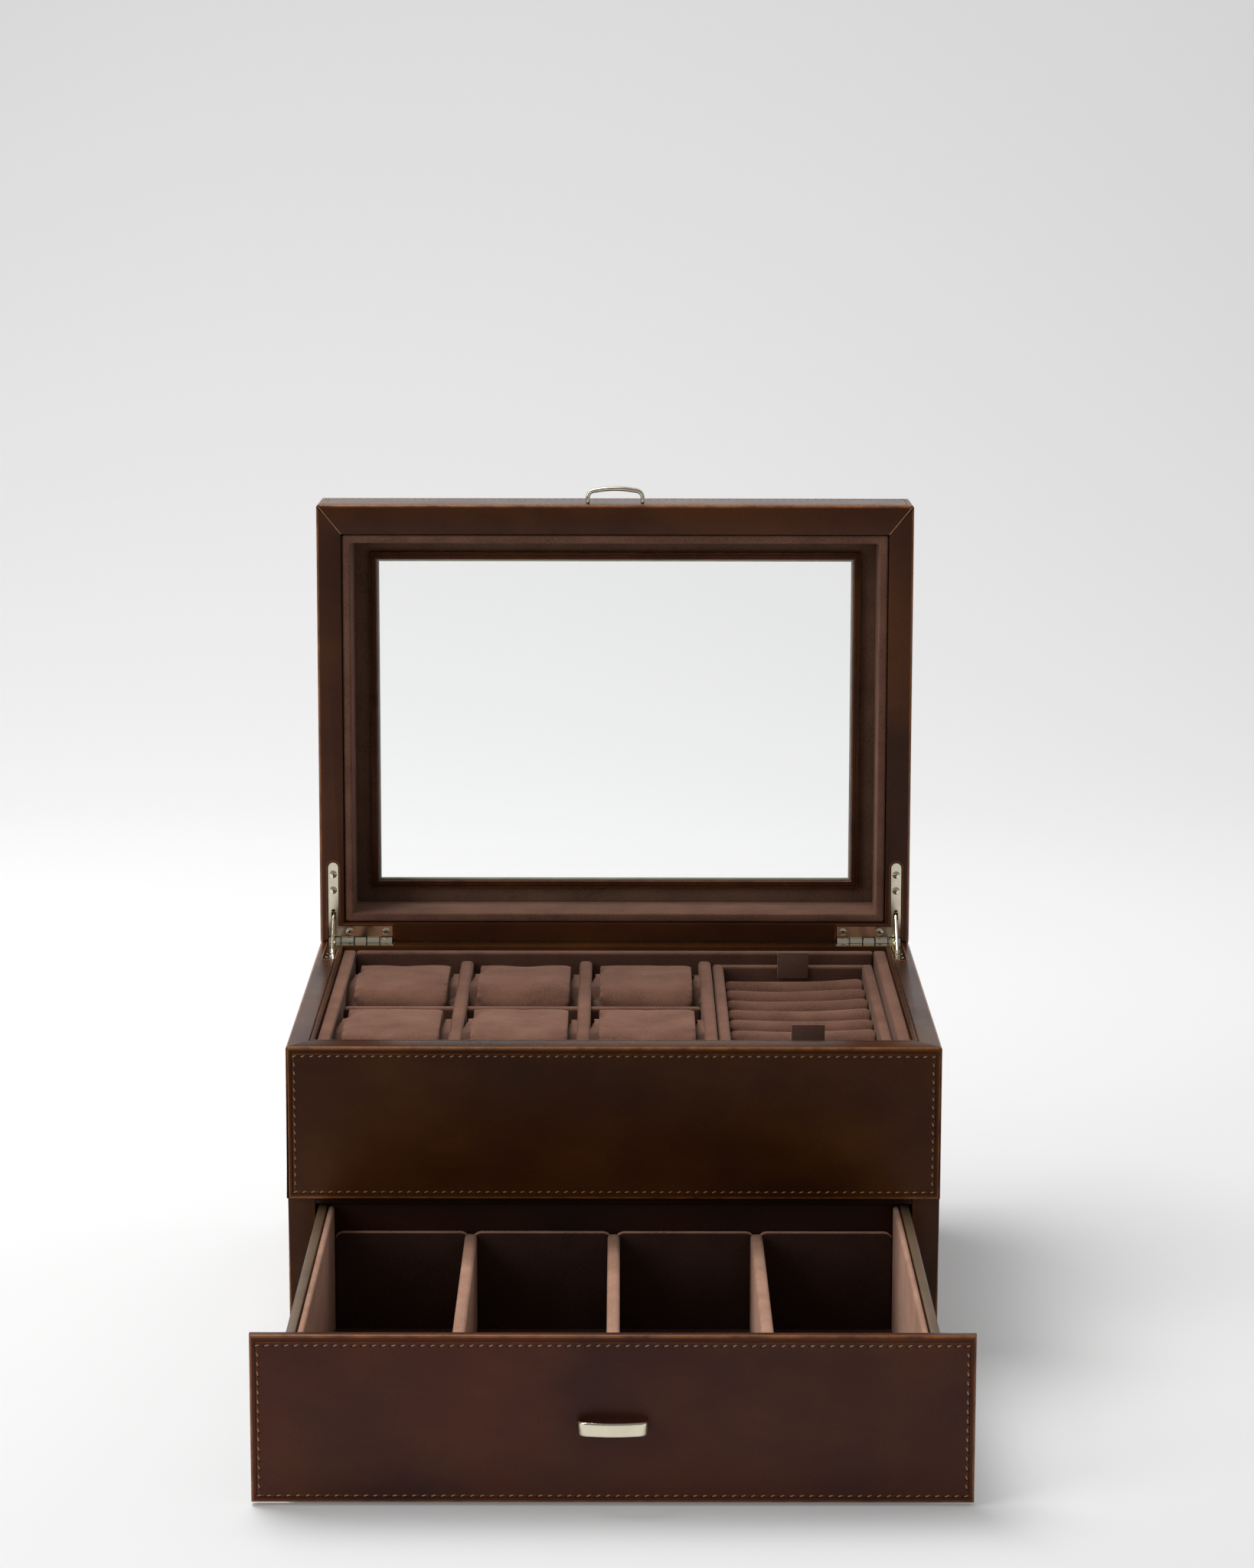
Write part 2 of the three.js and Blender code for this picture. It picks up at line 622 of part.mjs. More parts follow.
function ringTraySpan() {
  return {
    x: [RING_BAY_LEFT + RING_TRAY_ROOM, TRAY_X - RING_TRAY_ROOM],
    y: [TRAY_FRONT + RING_TRAY_ROOM, TRAY_BACK - RING_TRAY_ROOM],
  };
}

// The span inside the ring tray's walls, less room.
function ringTrayInside(room) {
  const { x, y } = ringTraySpan();
  const inset = RING_TRAY_WALL + room;
  return { x: [x[0] + inset, x[1] - inset], y: [y[0] + inset, y[1] - inset] };
}

function ringTrayBox() {
  const { x, y } = ringTraySpan();
  const inside = ringTrayInside(0);
  const bottom = PAD_TOP + GAP;
  const outer = solid(block(x, y, [bottom, RING_TRAY_TOP]));
  const hollow = block(inside.x, inside.y, [bottom + RING_TRAY_FLOOR, RING_TRAY_TOP + PAST]);
  return geometryOf(outer.subtract(solid(hollow)));
}

// The ring rolls: round-topped pads side by side, with a slit between each two.
function addRingRolls() {
  const { y } = ringTrayInside(GAP + TAB_THICKNESS + GAP);
  const across = ringTrayInside(GAP).x;
  const pitch = (y[1] - y[0]) / RING_ROLLS;
  const half = (pitch - GAP) / 2;
  const bottom = PAD_TOP + 2 * GAP + RING_TRAY_FLOOR;
  const foot = CASE_HEIGHT - ROLL_DROP - ROLL_SLIT_DEPTH;
  const top = arch(half, ROLL_SLIT_DEPTH, ROLL_ROUNDING, 12).map(([along, up]) => [along, foot + up]);
  for (let n = 0; n < RING_ROLLS; n += 1) {
    const middle = y[1] - pitch * (n + 0.5);
    const outline = [[-half, bottom], [half, bottom], ...top];
    const placed = outline.map(([along, z]) => [middle + along, z]);
    add(root, `ring_roll_${n + 1}`, barAlongX(placed, across), FINISH.suede());
  }
}

// A ribbon tab inside the front or back rim of the ring tray.
function ringTab(isBack) {
  const { x, y } = ringTrayInside(GAP);
  const middle = (x[0] + x[1]) / 2;
  const rise = isBack ? BACK_TAB_RISE : FRONT_TAB_RISE;
  const thick = isBack ? [y[1] - TAB_THICKNESS, y[1]] : [y[0], y[0] + TAB_THICKNESS];
  const across = [middle - TAB_WIDTH / 2, middle + TAB_WIDTH / 2];
  return block(across, thick, [RING_TRAY_TOP - TAB_HOLD, RING_TRAY_TOP + rise]);
}

function addRingTray() {
  add(root, "ring_tray", ringTrayBox(), FINISH.suede());
  addRingRolls();
  add(root, "ring_tray_tab_back", ringTab(true), FINISH.ribbon());
  add(root, "ring_tray_tab_front", ringTab(false), FINISH.ribbon());
}

// ---- Pulls ----

// A pull: a bent strip, with a post behind each foot. It reaches along -Y from y = 0.
function pull() {
  const outer = arch(PULL_WIDTH / 2, PULL_REACH, PULL_CURVE, 24);
  const inner = arch(PULL_WIDTH / 2 - PULL_STRIP, PULL_REACH - PULL_STRIP, PULL_CURVE, 24);
  const outline = [...outer, ...inner.reverse()];
  const flat = prism(outline, [-PULL_BAND / 2, PULL_BAND / 2]);
  let body = solid(flat.rotateZ(Math.PI).translate(0, -GAP, 0));
  postPlaces().forEach((x) => {
    body = body.add(solid(post(x, POST_RADIUS, POST_LENGTH)));
  });
  return geometryOf(body);
}

// Where the pull's two posts stand along X.
function postPlaces() {
  const place = PULL_WIDTH / 2 - PULL_STRIP / 2;
  return [-place, place];
}

// A post, or its hole, that reaches from the pull's foot into the board behind it.
function post(x, radius, length) {
  const start = -GAP - POST_BITE;
  const geometry = new THREE.CylinderGeometry(radius, radius, length - start, 16);
  return geometry.translate(x, (length + start) / 2, 0);
}

// Cuts the holes for a pull's posts into a board whose face is at y, at height z.
function withPostHoles(board, y, z) {
  return postPlaces().reduce((cut, x) => {
    const hole = solid(post(x, POST_RADIUS + GAP, POST_LENGTH + GAP));
    return cut.subtract(hole.translate([0, y, z]));
  }, board);
}

// ---- Lid ----

function lidSideBoard(side) {
  const outline = [
    [side * HALF_WIDTH, -HALF_DEPTH],
    [side * HALF_WIDTH, HALF_DEPTH],
    [side * INNER_X, INNER_BACK],
    [side * INNER_X, INNER_FRONT],
  ];
  const board = solid(prism(outline, [LID_BOTTOM, LID_TOP]));
  return board.subtract(turnedOver(backBevel())).subtract(lidHingeCut(side));
}

function addLidBoards() {
  const height = [LID_BOTTOM, LID_TOP];
  const pullHeight = LID_BOTTOM + LID_PULL_RISE;
  const front = withPostHoles(crossWall(-HALF_DEPTH, INNER_FRONT, height), -HALF_DEPTH, pullHeight);
  const back = crossWall(HALF_DEPTH, INNER_BACK, height).subtract(turnedOver(backBevel()));
  const cutBack = back.subtract(lidHingeCut(-1)).subtract(lidHingeCut(1));
  add(lid, "lid_board_left", geometryOf(lidSideBoard(-1)), FINISH.leather());
  add(lid, "lid_board_right", geometryOf(lidSideBoard(1)), FINISH.leather());
  add(lid, "lid_board_back", geometryOf(cutBack), FINISH.leather());
  add(lid, "lid_board_front", geometryOf(front), FINISH.leather());
  add(lid, "lid_pull", pull().translate(0, -HALF_DEPTH, pullHeight), FINISH.nickel());
}

// The window's span, grown all round by room.
function windowSpan(room) {
  const inset = WINDOW_BORDER - room;
  return {
    x: [-INNER_X + inset, INNER_X - inset],
    y: [INNER_FRONT + inset, INNER_BACK - inset],
  };
}

// A prism round the window, between an outer outline and the window grown by room.
function windowRing(outline, room, height) {
  const opening = windowSpan(room);
  const hole = roundedRectangle(opening.x, opening.y, WINDOW_CORNER);
  return prism(outline, height, [hole]);
}

function addLidPanel() {
  const across = [-INNER_X + GAP, INNER_X - GAP];
  const along = [INNER_FRONT + GAP, INNER_BACK - GAP];
  const inner = LID_TOP - LID_PANEL;
  const rebateTop = inner + GLASS + GAP;
  const rebate = windowSpan(GLASS_BITE + GAP);
  const panel = solid(windowRing(rectangle(across, along), 0, [inner, LID_TOP]));
  const cut = solid(block(rebate.x, rebate.y, [inner - PAST, rebateTop]));
  const pane = windowSpan(GLASS_BITE);
  const bezelSpan = windowSpan(BEZEL_WIDTH);
  const bezelOutline = roundedRectangle(bezelSpan.x, bezelSpan.y, WINDOW_CORNER);
  const bezelTop = inner - GAP;
  const bezel = windowRing(bezelOutline, 0, [bezelTop - BEZEL_HEIGHT, bezelTop]);
  add(lid, "lid_top_panel", geometryOf(panel.subtract(cut)), FINISH.leather());
  add(lid, "lid_glass", block(pane.x, pane.y, [inner, inner + GLASS]), FINISH.glass());
  add(lid, "window_bezel", bezel, FINISH.leather());
}

function addLidLiner() {
  const across = [-INNER_X + GAP, INNER_X - GAP];
  const along = [INNER_FRONT + GAP, INNER_BACK - GAP];
  const hole = rectangle(
    [across[0] + LID_LINER, across[1] - LID_LINER],
    [along[0] + LID_LINER, along[1] - LID_LINER],
  );
  const height = [LID_BOTTOM + LID_LINER_SETBACK, LID_TOP - LID_PANEL - GAP];
  add(lid, "lid_liner", prism(rectangle(across, along), height, [hole]), FINISH.suede());
}

// ---- Drawer ----

function addDrawerBox() {
  const width = [-DRAWER_X, DRAWER_X];
  const sideHeight = [DRAWER_BOX_BOTTOM, DRAWER_SIDE_TOP];
  const sideRun = [BAY_FRONT, DRAWER_BACK - DRAWER_SIDE - GAP];
  const faceWidth = [-HALF_WIDTH, HALF_WIDTH];
  const faceDepth = [-HALF_DEPTH, -HALF_DEPTH + DRAWER_FRONT];
  const face = solid(block(faceWidth, faceDepth, [FLOOR, SEAM_HEIGHT - DRAWER_FRONT_ROOM]));
  const drilled = withPostHoles(face, -HALF_DEPTH, DRAWER_PULL_HEIGHT);
  add(drawer, "drawer_front", geometryOf(drilled), FINISH.leather());
  const bottom = block(width, [BAY_FRONT, DRAWER_BACK], [DRAWER_FLOOR, DRAWER_FLOOR + DRAWER_BOTTOM]);
  add(drawer, "drawer_bottom", bottom, FINISH.edge());
  const left = block([-DRAWER_X, -DRAWER_X + DRAWER_SIDE], sideRun, sideHeight);
  const right = block([DRAWER_X - DRAWER_SIDE, DRAWER_X], sideRun, sideHeight);
  const back = block(width, [DRAWER_BACK - DRAWER_SIDE, DRAWER_BACK], sideHeight);
  add(drawer, "drawer_side_left", left, FINISH.edge());
  add(drawer, "drawer_side_right", right, FINISH.edge());
  add(drawer, "drawer_back", back, FINISH.edge());
  add(drawer, "drawer_pull", pull().translate(0, -HALF_DEPTH, DRAWER_PULL_HEIGHT), FINISH.nickel());
}

// The hollow inside the drawer's lining.
function drawerInside() {
  const x = DRAWER_X - DRAWER_SIDE - GAP - DRAWER_LINING;
  const front = BAY_FRONT + GAP + DRAWER_LINING;
  const back = DRAWER_BACK - DRAWER_SIDE - 2 * GAP - DRAWER_LINING;
  return { x, front, back, floor: DRAWER_BOX_BOTTOM + DRAWER_LINING_FLOOR };
}

function addDrawerLining() {
  const inside = drawerInside();
  const outerX = inside.x + DRAWER_LINING;
  const along = [inside.front - DRAWER_LINING, inside.back + DRAWER_LINING];
  const bottom = DRAWER_BOX_BOTTOM;
  const walls = [
    block([-outerX, -inside.x], along, [bottom, DRAWER_SIDE_TOP - SIDE_LINING_DROP]),
    block([inside.x, outerX], along, [bottom, DRAWER_SIDE_TOP - SIDE_LINING_DROP]),
    block([-outerX, outerX], [along[0], inside.front], [bottom, DRAWER_SIDE_TOP - FRONT_LINING_DROP]),
    block([-outerX, outerX], [inside.back, along[1]], [bottom, DRAWER_SIDE_TOP - BACK_LINING_DROP]),
  ];
  const base = solid(block([-outerX, outerX], along, [bottom, inside.floor]));
  const lining = walls.reduce((joined, wall) => joined.add(solid(wall)), base);
  add(drawer, "drawer_lining", geometryOf(lining), FINISH.suede());
}

function addDrawerDividers() {
  const inside = drawerInside();
  const room = (2 * inside.x - DRAWER_DIVIDERS * DRAWER_DIVIDER) / (DRAWER_DIVIDERS + 1);
  for (let n = 0; n < DRAWER_DIVIDERS; n += 1) {
    const left = -inside.x + room + n * (room + DRAWER_DIVIDER);
    const depth = [inside.front + GAP, inside.back - GAP];
    const height = [inside.floor + GAP, DRAWER_SIDE_TOP - DRAWER_DIVIDER_DROP];
    const divider = block([left, left + DRAWER_DIVIDER], depth, height);
    add(drawer, `drawer_divider_${n + 1}`, divider, FINISH.suede());
  }
}

addCaseBoards();
addTrayLiners();
addDividers();
addCushions();
addRingTray();
addHinge(-1, "left");
addHinge(1, "right");
addLidBoards();
addLidPanel();
addLidLiner();
addDrawerBox();
addDrawerLining();
addDrawerDividers();

export default root;
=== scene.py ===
"""Finishes and fine detail for a leather jewellery case, over its measured frame."""
import logging
import math
from dataclasses import dataclass, field
from enum import Enum
from typing import Callable, Iterable, Sequence

import bmesh
import bpy
from mathutils import Matrix, Vector, noise


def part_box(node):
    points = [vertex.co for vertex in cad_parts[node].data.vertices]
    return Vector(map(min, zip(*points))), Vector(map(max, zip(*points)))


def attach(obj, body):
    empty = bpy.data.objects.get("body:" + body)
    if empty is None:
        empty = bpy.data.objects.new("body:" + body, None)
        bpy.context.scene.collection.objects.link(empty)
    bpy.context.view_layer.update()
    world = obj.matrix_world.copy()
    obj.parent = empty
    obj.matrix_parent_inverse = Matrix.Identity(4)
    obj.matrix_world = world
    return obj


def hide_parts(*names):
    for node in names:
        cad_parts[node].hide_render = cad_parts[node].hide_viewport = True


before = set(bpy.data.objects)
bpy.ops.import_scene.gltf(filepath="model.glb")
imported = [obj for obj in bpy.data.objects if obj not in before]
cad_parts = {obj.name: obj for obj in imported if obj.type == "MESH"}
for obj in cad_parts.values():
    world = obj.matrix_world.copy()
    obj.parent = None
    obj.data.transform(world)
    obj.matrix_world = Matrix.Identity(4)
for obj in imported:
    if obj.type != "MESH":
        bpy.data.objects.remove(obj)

LOG = logging.getLogger("jewellery_case")
MM = 0.001
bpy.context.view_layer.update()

HINGE_Y = 106.5
MATING_Z = 142.0
LID_ANGLE = math.radians(91.0)
DRAWER_OUT = 192.0
HALF_WIDTH = 145.0
HALF_DEPTH = 109.0
WALL = 12.0
FRONT_WALL = 14.4
SHOW_HALF = HALF_WIDTH - 0.1
CHAMFER_RUN = 2.8
CHAMFER_FALL = 3.05

# Vertex value for leather edge wear with its painted highlight, and for painted shade by facing on
# suede.
WEAR_AND_PAINTED_LIGHT = "wear_and_painted_light"
TOUCHING = 0.01
# Painted shade by facing: the base value, the lightening of faces turned up and the darkening of
# faces turned sideways.
FACING_SHADE_BASE, FACING_LIGHT_UP, FACING_SHADE_ASIDE = 0.38, 0.75, 0.12

Point = Sequence[float]


class Body(Enum):
    """The moving bodies, with the turn or shift that takes a shut piece to its rest place."""

    CASE = "case"
    LID = "lid"
    DRAWER = "drawer"
    RING_TRAY = "ring_tray"
    CUSHION_BACK_LEFT = "cushion_back_left"
    CUSHION_BACK_MIDDLE = "cushion_back_middle"
    CUSHION_BACK_RIGHT = "cushion_back_right"
    CUSHION_FRONT_LEFT = "cushion_front_left"
    CUSHION_FRONT_MIDDLE = "cushion_front_middle"
    CUSHION_FRONT_RIGHT = "cushion_front_right"

    def placing(self) -> Matrix:
        """The matrix, in millimetres, from the shut case to the rest pose."""
        if self is Body.LID:
            hinge = Vector((0.0, HINGE_Y, MATING_Z))
            turn = Matrix.Rotation(-LID_ANGLE, 4, "X")
            return Matrix.Translation(hinge) @ turn @ Matrix.Translation(-hinge)
        if self is Body.DRAWER:
            return Matrix.Translation((0.0, -DRAWER_OUT, 0.0))
        return Matrix.Identity(4)


class Facing(Enum):
    """Which way a board's show face looks; u runs along it, v up it and w out of it."""

    FRONT = ((1, 0, 0), (0, 0, 1), (0, -1, 0), (0, -HALF_DEPTH, 0))
    RIGHT = ((0, 1, 0), (0, 0, 1), (1, 0, 0), (HALF_WIDTH, 0, 0))
    BACK = ((-1, 0, 0), (0, 0, 1), (0, 1, 0), (0, HALF_DEPTH, 0))
    LEFT = ((0, -1, 0), (0, 0, 1), (-1, 0, 0), (-HALF_WIDTH, 0, 0))

    def matrix(self) -> Matrix:
        """The matrix from the board's own u, v, w to the shut case."""
        u, v, w, origin = (Vector(column) for column in self.value)
        turn = Matrix((u, v, w)).transposed().to_4x4()
        return Matrix.Translation(origin) @ turn


class Slot(Enum):
    """Material slot names, one handed to each piece's finish, which does not read it."""

    LEATHER = "leather"
    SUEDE = "suede"
    NICKEL = "nickel"
    GLASS = "glass"
    RIBBON = "ribbon"
    PAINTED_BOARD = "painted_board"


# ---------------------------------------------------------------- finishes


def opaque(colour: Point, shade: float = 1.0) -> tuple[float, ...]:
    """A linear colour with full alpha, darkened or lightened."""
    return (*(shade * c for c in colour), 1.0)


class Nodes:
    """A short way to build one material's nodes."""

    def __init__(self, name: str) -> None:
        """Starts a material that holds only a Principled shader.

        Args:
            name: the material's name.
        """
        self.material = bpy.data.materials.new(name)
        self.material.use_nodes = True
        self.tree = self.material.node_tree
        self.shader = self.tree.nodes["Principled BSDF"]

    def node(self, kind: str, **inputs: object) -> bpy.types.Node:
        """Adds a node and sets its inputs.

        Args:
            kind: the node's type.
            inputs: values or sockets for its inputs, by name with underscores.

        Returns:
            The node.
        """
        made = self.tree.nodes.new(kind)
        for key, value in inputs.items():
            self.feed(made.inputs[key.replace("_", " ")], value)
        return made

    def feed(self, socket: bpy.types.NodeSocket, value: object) -> None:
        """Links a socket to another, or sets its value.

        Args:
            socket: the input.
            value: a socket or a plain value.
        """
        if isinstance(value, bpy.types.NodeSocket):
            self.tree.links.new(value, socket)
        else:
            socket.default_value = value

    def place(self) -> bpy.types.NodeSocket:
        """The piece's own Object coordinates."""
        return self.node("ShaderNodeTexCoord").outputs["Object"]

    def stretched(self, scale: Point) -> bpy.types.NodeSocket:
        """Object coordinates, stretched.

        Args:
            scale: the scale along each axis.

        Returns:
            The vector socket.
        """
        return self.node("ShaderNodeMapping", Vector=self.place(), Scale=scale).outputs[0]

    def cloud(
        self, scale: float, detail: float = 3.0, vector: bpy.types.NodeSocket | None = None
    ) -> bpy.types.NodeSocket:
        """Soft noise from 0 to 1.

        Args:
            scale: features per metre.
            detail: octaves.
            vector: where it is read, if not plain Object coordinates.

        Returns:
            The noise's value socket.
        """
        source = vector if vector is not None else self.place()
        made = self.node("ShaderNodeTexNoise", Vector=source, Scale=scale, Detail=detail)
        return made.outputs[0]

    def ramp(
        self, value: bpy.types.NodeSocket, stops: Iterable[tuple[float, Point]]
    ) -> bpy.types.NodeSocket:
        """A colour for each value.

        Args:
            value: the value to look up.
            stops: places and linear colours.

        Returns:
            The colour socket.
        """
        made = self.node("ShaderNodeValToRGB", Fac=value)
        elements = made.color_ramp.elements
        ordered = list(stops)
        while len(elements) < len(ordered):
            elements.new(0.5)
        for element, (place, colour) in zip(elements, ordered):
            element.position = place
            element.color = opaque(colour)
        return made.outputs[0]

    def between(self, value: object, low: float, high: float) -> bpy.types.NodeSocket:
        """Spreads 0..1 over low..high.

        Args:
            value: the value socket.
            low: the result at 0.
            high: the result at 1.

        Returns:
            The result socket.
        """
        made = self.node("ShaderNodeMapRange", Value=value)
        made.inputs["To Min"].default_value = low
        made.inputs["To Max"].default_value = high
        return made.outputs[0]

    def sharpened(self, value: object, low: float, high: float) -> bpy.types.NodeSocket:
        """Stretches low..high over 0..1.

        Args:
            value: the value socket.
            low: the value that gives 0.
            high: the value that gives 1.

        Returns:
            The result socket.
        """
        made = self.node("ShaderNodeMapRange", Value=value)
        made.inputs["From Min"].default_value = low
        made.inputs["From Max"].default_value = high
        return made.outputs[0]

    def mixed(self, factor: object, one: object, other: object) -> bpy.types.NodeSocket:
        """Mixes two colours.

        Args:
            factor: 0 for one, 1 for the other.
            one: a colour or socket.
            other: a colour or socket.

        Returns:
            The colour socket.
        """
        made = self.node("ShaderNodeMix")
        made.data_type = "RGBA"
        for index, value in ((0, factor), (6, one), (7, other)):
            self.feed(made.inputs[index], value)
        return made.outputs[2]

    def times(self, one: object, other: object) -> bpy.types.NodeSocket:
        """Multiplies two values."""
        made = self.tree.nodes.new("ShaderNodeMath")
        made.operation = "MULTIPLY"
        self.feed(made.inputs[0], one)
        self.feed(made.inputs[1], other)
        return made.outputs[0]

    def wear_and_painted_light(self) -> bpy.types.NodeSocket:
        """The edge wear and painted light that a mesh carries on its vertices: worn leather edges
        with a painted highlight, and painted shade by facing on suede.
        """
        made = self.node("ShaderNodeAttribute")
        made.attribute_name = WEAR_AND_PAINTED_LIGHT
        return made.outputs["Fac"]

    def bump(self, heights: Iterable[tuple[object, float, float]]) -> None:
        """Stacks bumps on the shader's normal.

        Args:
            heights: for each, its height socket, strength and distance in metres.
        """
        previous: bpy.types.NodeSocket | None = None
        for height, strength, distance in heights:
            made = self.node("ShaderNodeBump", Height=height, Strength=strength)
            made.inputs["Distance"].default_value = distance
            if previous is not None:
                self.feed(made.inputs["Normal"], previous)
            previous = made.outputs[0]
        if previous is not None:
            self.feed(self.shader.inputs["Normal"], previous)

    def set(self, **values: object) -> None:
        """Sets the shader's own sockets.

        Args:
            values: values or sockets, by name with underscores.
        """
        for key, value in values.items():
            self.feed(self.shader.inputs[key.replace("_", " ")], value)


@dataclass(frozen=True)
class Leather:
    """Smooth full-grain leather, hand coloured, with worn edges that also carry a painted
    highlight.
    """

    name: str
    deep: Point = (0.0380, 0.0110, 0.0024)
    body: Point = (0.0580, 0.0180, 0.0034)
    amber: Point = (0.0860, 0.0290, 0.0046)
    red: Point = (0.0500, 0.0115, 0.0055)
    # Pale tan for worn edges, also standing in as a painted highlight along rounded edges and
    # beads.
    worn_and_highlit: Point = (0.3600, 0.1350, 0.0400)
    pore: Point = (0.0090, 0.0040, 0.0025)
    redness: float = 0.40
    shine: float = 0.12

    def make(self) -> bpy.types.Material:
        """Builds the material."""
        kit = Nodes(self.name)
        clouds = kit.ramp(
            kit.cloud(20.0, 7.0, kit.stretched((0.7, 0.7, 1.1))),
            ((0.36, self.deep), (0.50, self.body), (0.65, self.amber)),
        )
        blush = kit.sharpened(kit.cloud(16.0, 6.0, kit.stretched((0.8, 0.9, 1.1))), 0.40, 0.66)
        coloured = kit.mixed(kit.times(blush, self.redness), clouds, opaque(self.red))
        speck = kit.sharpened(kit.cloud(900.0, 2.0), 0.30, 0.78)
        # Edge wear and painted highlight: the marked edges turn towards the pale tan in patches.
        patchy_wear_and_highlight = kit.times(kit.wear_and_painted_light(), kit.sharpened(kit.cloud(120.0), 0.15, 0.60))
        worn_and_highlit = kit.mixed(kit.times(patchy_wear_and_highlight, 0.70), coloured, opaque(self.worn_and_highlit))
        shade = kit.mixed(kit.times(speck, 0.16), worn_and_highlit, opaque(self.pore))
        gloss = kit.between(kit.cloud(45.0, 4.0), 0.21, 0.35)
        kit.set(Base_Color=shade, Roughness=gloss, Specular_IOR_Level=self.shine)
        kit.bump(
            (
                (kit.cloud(14.0, 2.0), 0.30, 0.0009),
                (kit.cloud(420.0, 3.0), 0.22, 0.00008),
                (kit.cloud(1900.0, 2.0), 0.20, 0.00003),
            )
        )
        return kit.material


@dataclass(frozen=True)
class Suede:
    """Short-napped microsuede, with painted shade by facing when asked."""

    name: str
    dark: Point = (0.082, 0.037, 0.024)
    light: Point = (0.180, 0.088, 0.059)
    sheen: Point = (0.92, 0.60, 0.47)
    sheen_weight: float = 0.26
    facing_shaded: bool = False

    def make(self) -> bpy.types.Material:
        """Builds the material."""
        kit = Nodes(self.name)
        swept = kit.cloud(55.0, 3.0)
        nap = kit.cloud(1500.0, 2.0, kit.stretched((1.0, 1.0, 0.7)))
        stroked = kit.mixed(kit.sharpened(swept, 0.25, 0.75), opaque(self.dark), opaque(self.light))
        grain = kit.times(kit.sharpened(nap, 0.35, 0.65), 0.45)
        flecked = kit.mixed(grain, stroked, opaque(self.light, 1.35))
        if self.facing_shaded:
            # Painted shade: faces marked as turned away from the light darken towards 42% of the
            # dark tone; faces turned up keep the full colour.
            flecked = kit.mixed(kit.wear_and_painted_light(), opaque(self.dark, 0.42), flecked)
        kit.set(
            Base_Color=flecked,
            Roughness=0.95,
            Specular_IOR_Level=0.12,
            Sheen_Weight=self.sheen_weight,
            Sheen_Roughness=0.42,
            Sheen_Tint=opaque(self.sheen),
        )
        kit.bump(((nap, 0.5, 0.00018), (kit.cloud(260.0, 2.0), 0.25, 0.0002)))
        return kit.material


@dataclass(frozen=True)
class Metal:
    """Polished plating with faint handling marks."""

    name: str
    colour: Point = (0.80, 0.73, 0.57)
    polish: float = 0.06

    def make(self) -> bpy.types.Material:
        """Builds the material."""
        kit = Nodes(self.name)
        haze = kit.cloud(260.0, 3.0)
        tone = kit.mixed(haze, opaque(self.colour), opaque(self.colour, 0.86))
        rough = kit.between(haze, self.polish, self.polish + 0.09)
        kit.set(Base_Color=tone, Metallic=1.0, Roughness=rough)
        kit.bump(((kit.cloud(700.0, 2.0), 0.06, 0.00003),))
        return kit.material


@dataclass(frozen=True)
class Pane:
    """Clear glass with greenish depth."""

    name: str

    def make(self) -> bpy.types.Material:
        """Builds the material."""
        kit = Nodes(self.name)
        smear = kit.between(kit.cloud(30.0, 2.0), 0.0, 0.03)
        kit.set(
            Base_Color=(0.93, 0.97, 0.95, 1.0),
            Roughness=smear,
            IOR=1.46,
            Transmission_Weight=1.0,
            Alpha=0.22,
        )
        return kit.material


@dataclass(frozen=True)
class Plain:
    """A painted edge, waxed thread, ribbon or felt: one colour, gently broken up."""

    name: str
    colour: Point
    other: Point
    scale: float
    roughness: float
    fibre: float = 0.2
    sheen: float = 0.0

    def make(self) -> bpy.types.Material:
        """Builds the material."""
        kit = Nodes(self.name)
        broken = kit.cloud(self.scale, 3.0)
        patches = kit.sharpened(broken, 0.3, 0.7)
        mixed = kit.mixed(patches, opaque(self.colour), opaque(self.other))
        kit.set(Base_Color=mixed, Roughness=self.roughness, Sheen_Weight=self.sheen)
        kit.bump(((kit.cloud(self.scale * 4.0, 2.0), self.fibre, 0.0001),))
        return kit.material


def gathered(finish: Leather | Suede | Metal | Pane | Plain) -> bpy.types.Material:
    """A field that makes a finish's material once the finishes are gathered."""
    return field(default_factory=finish.make)


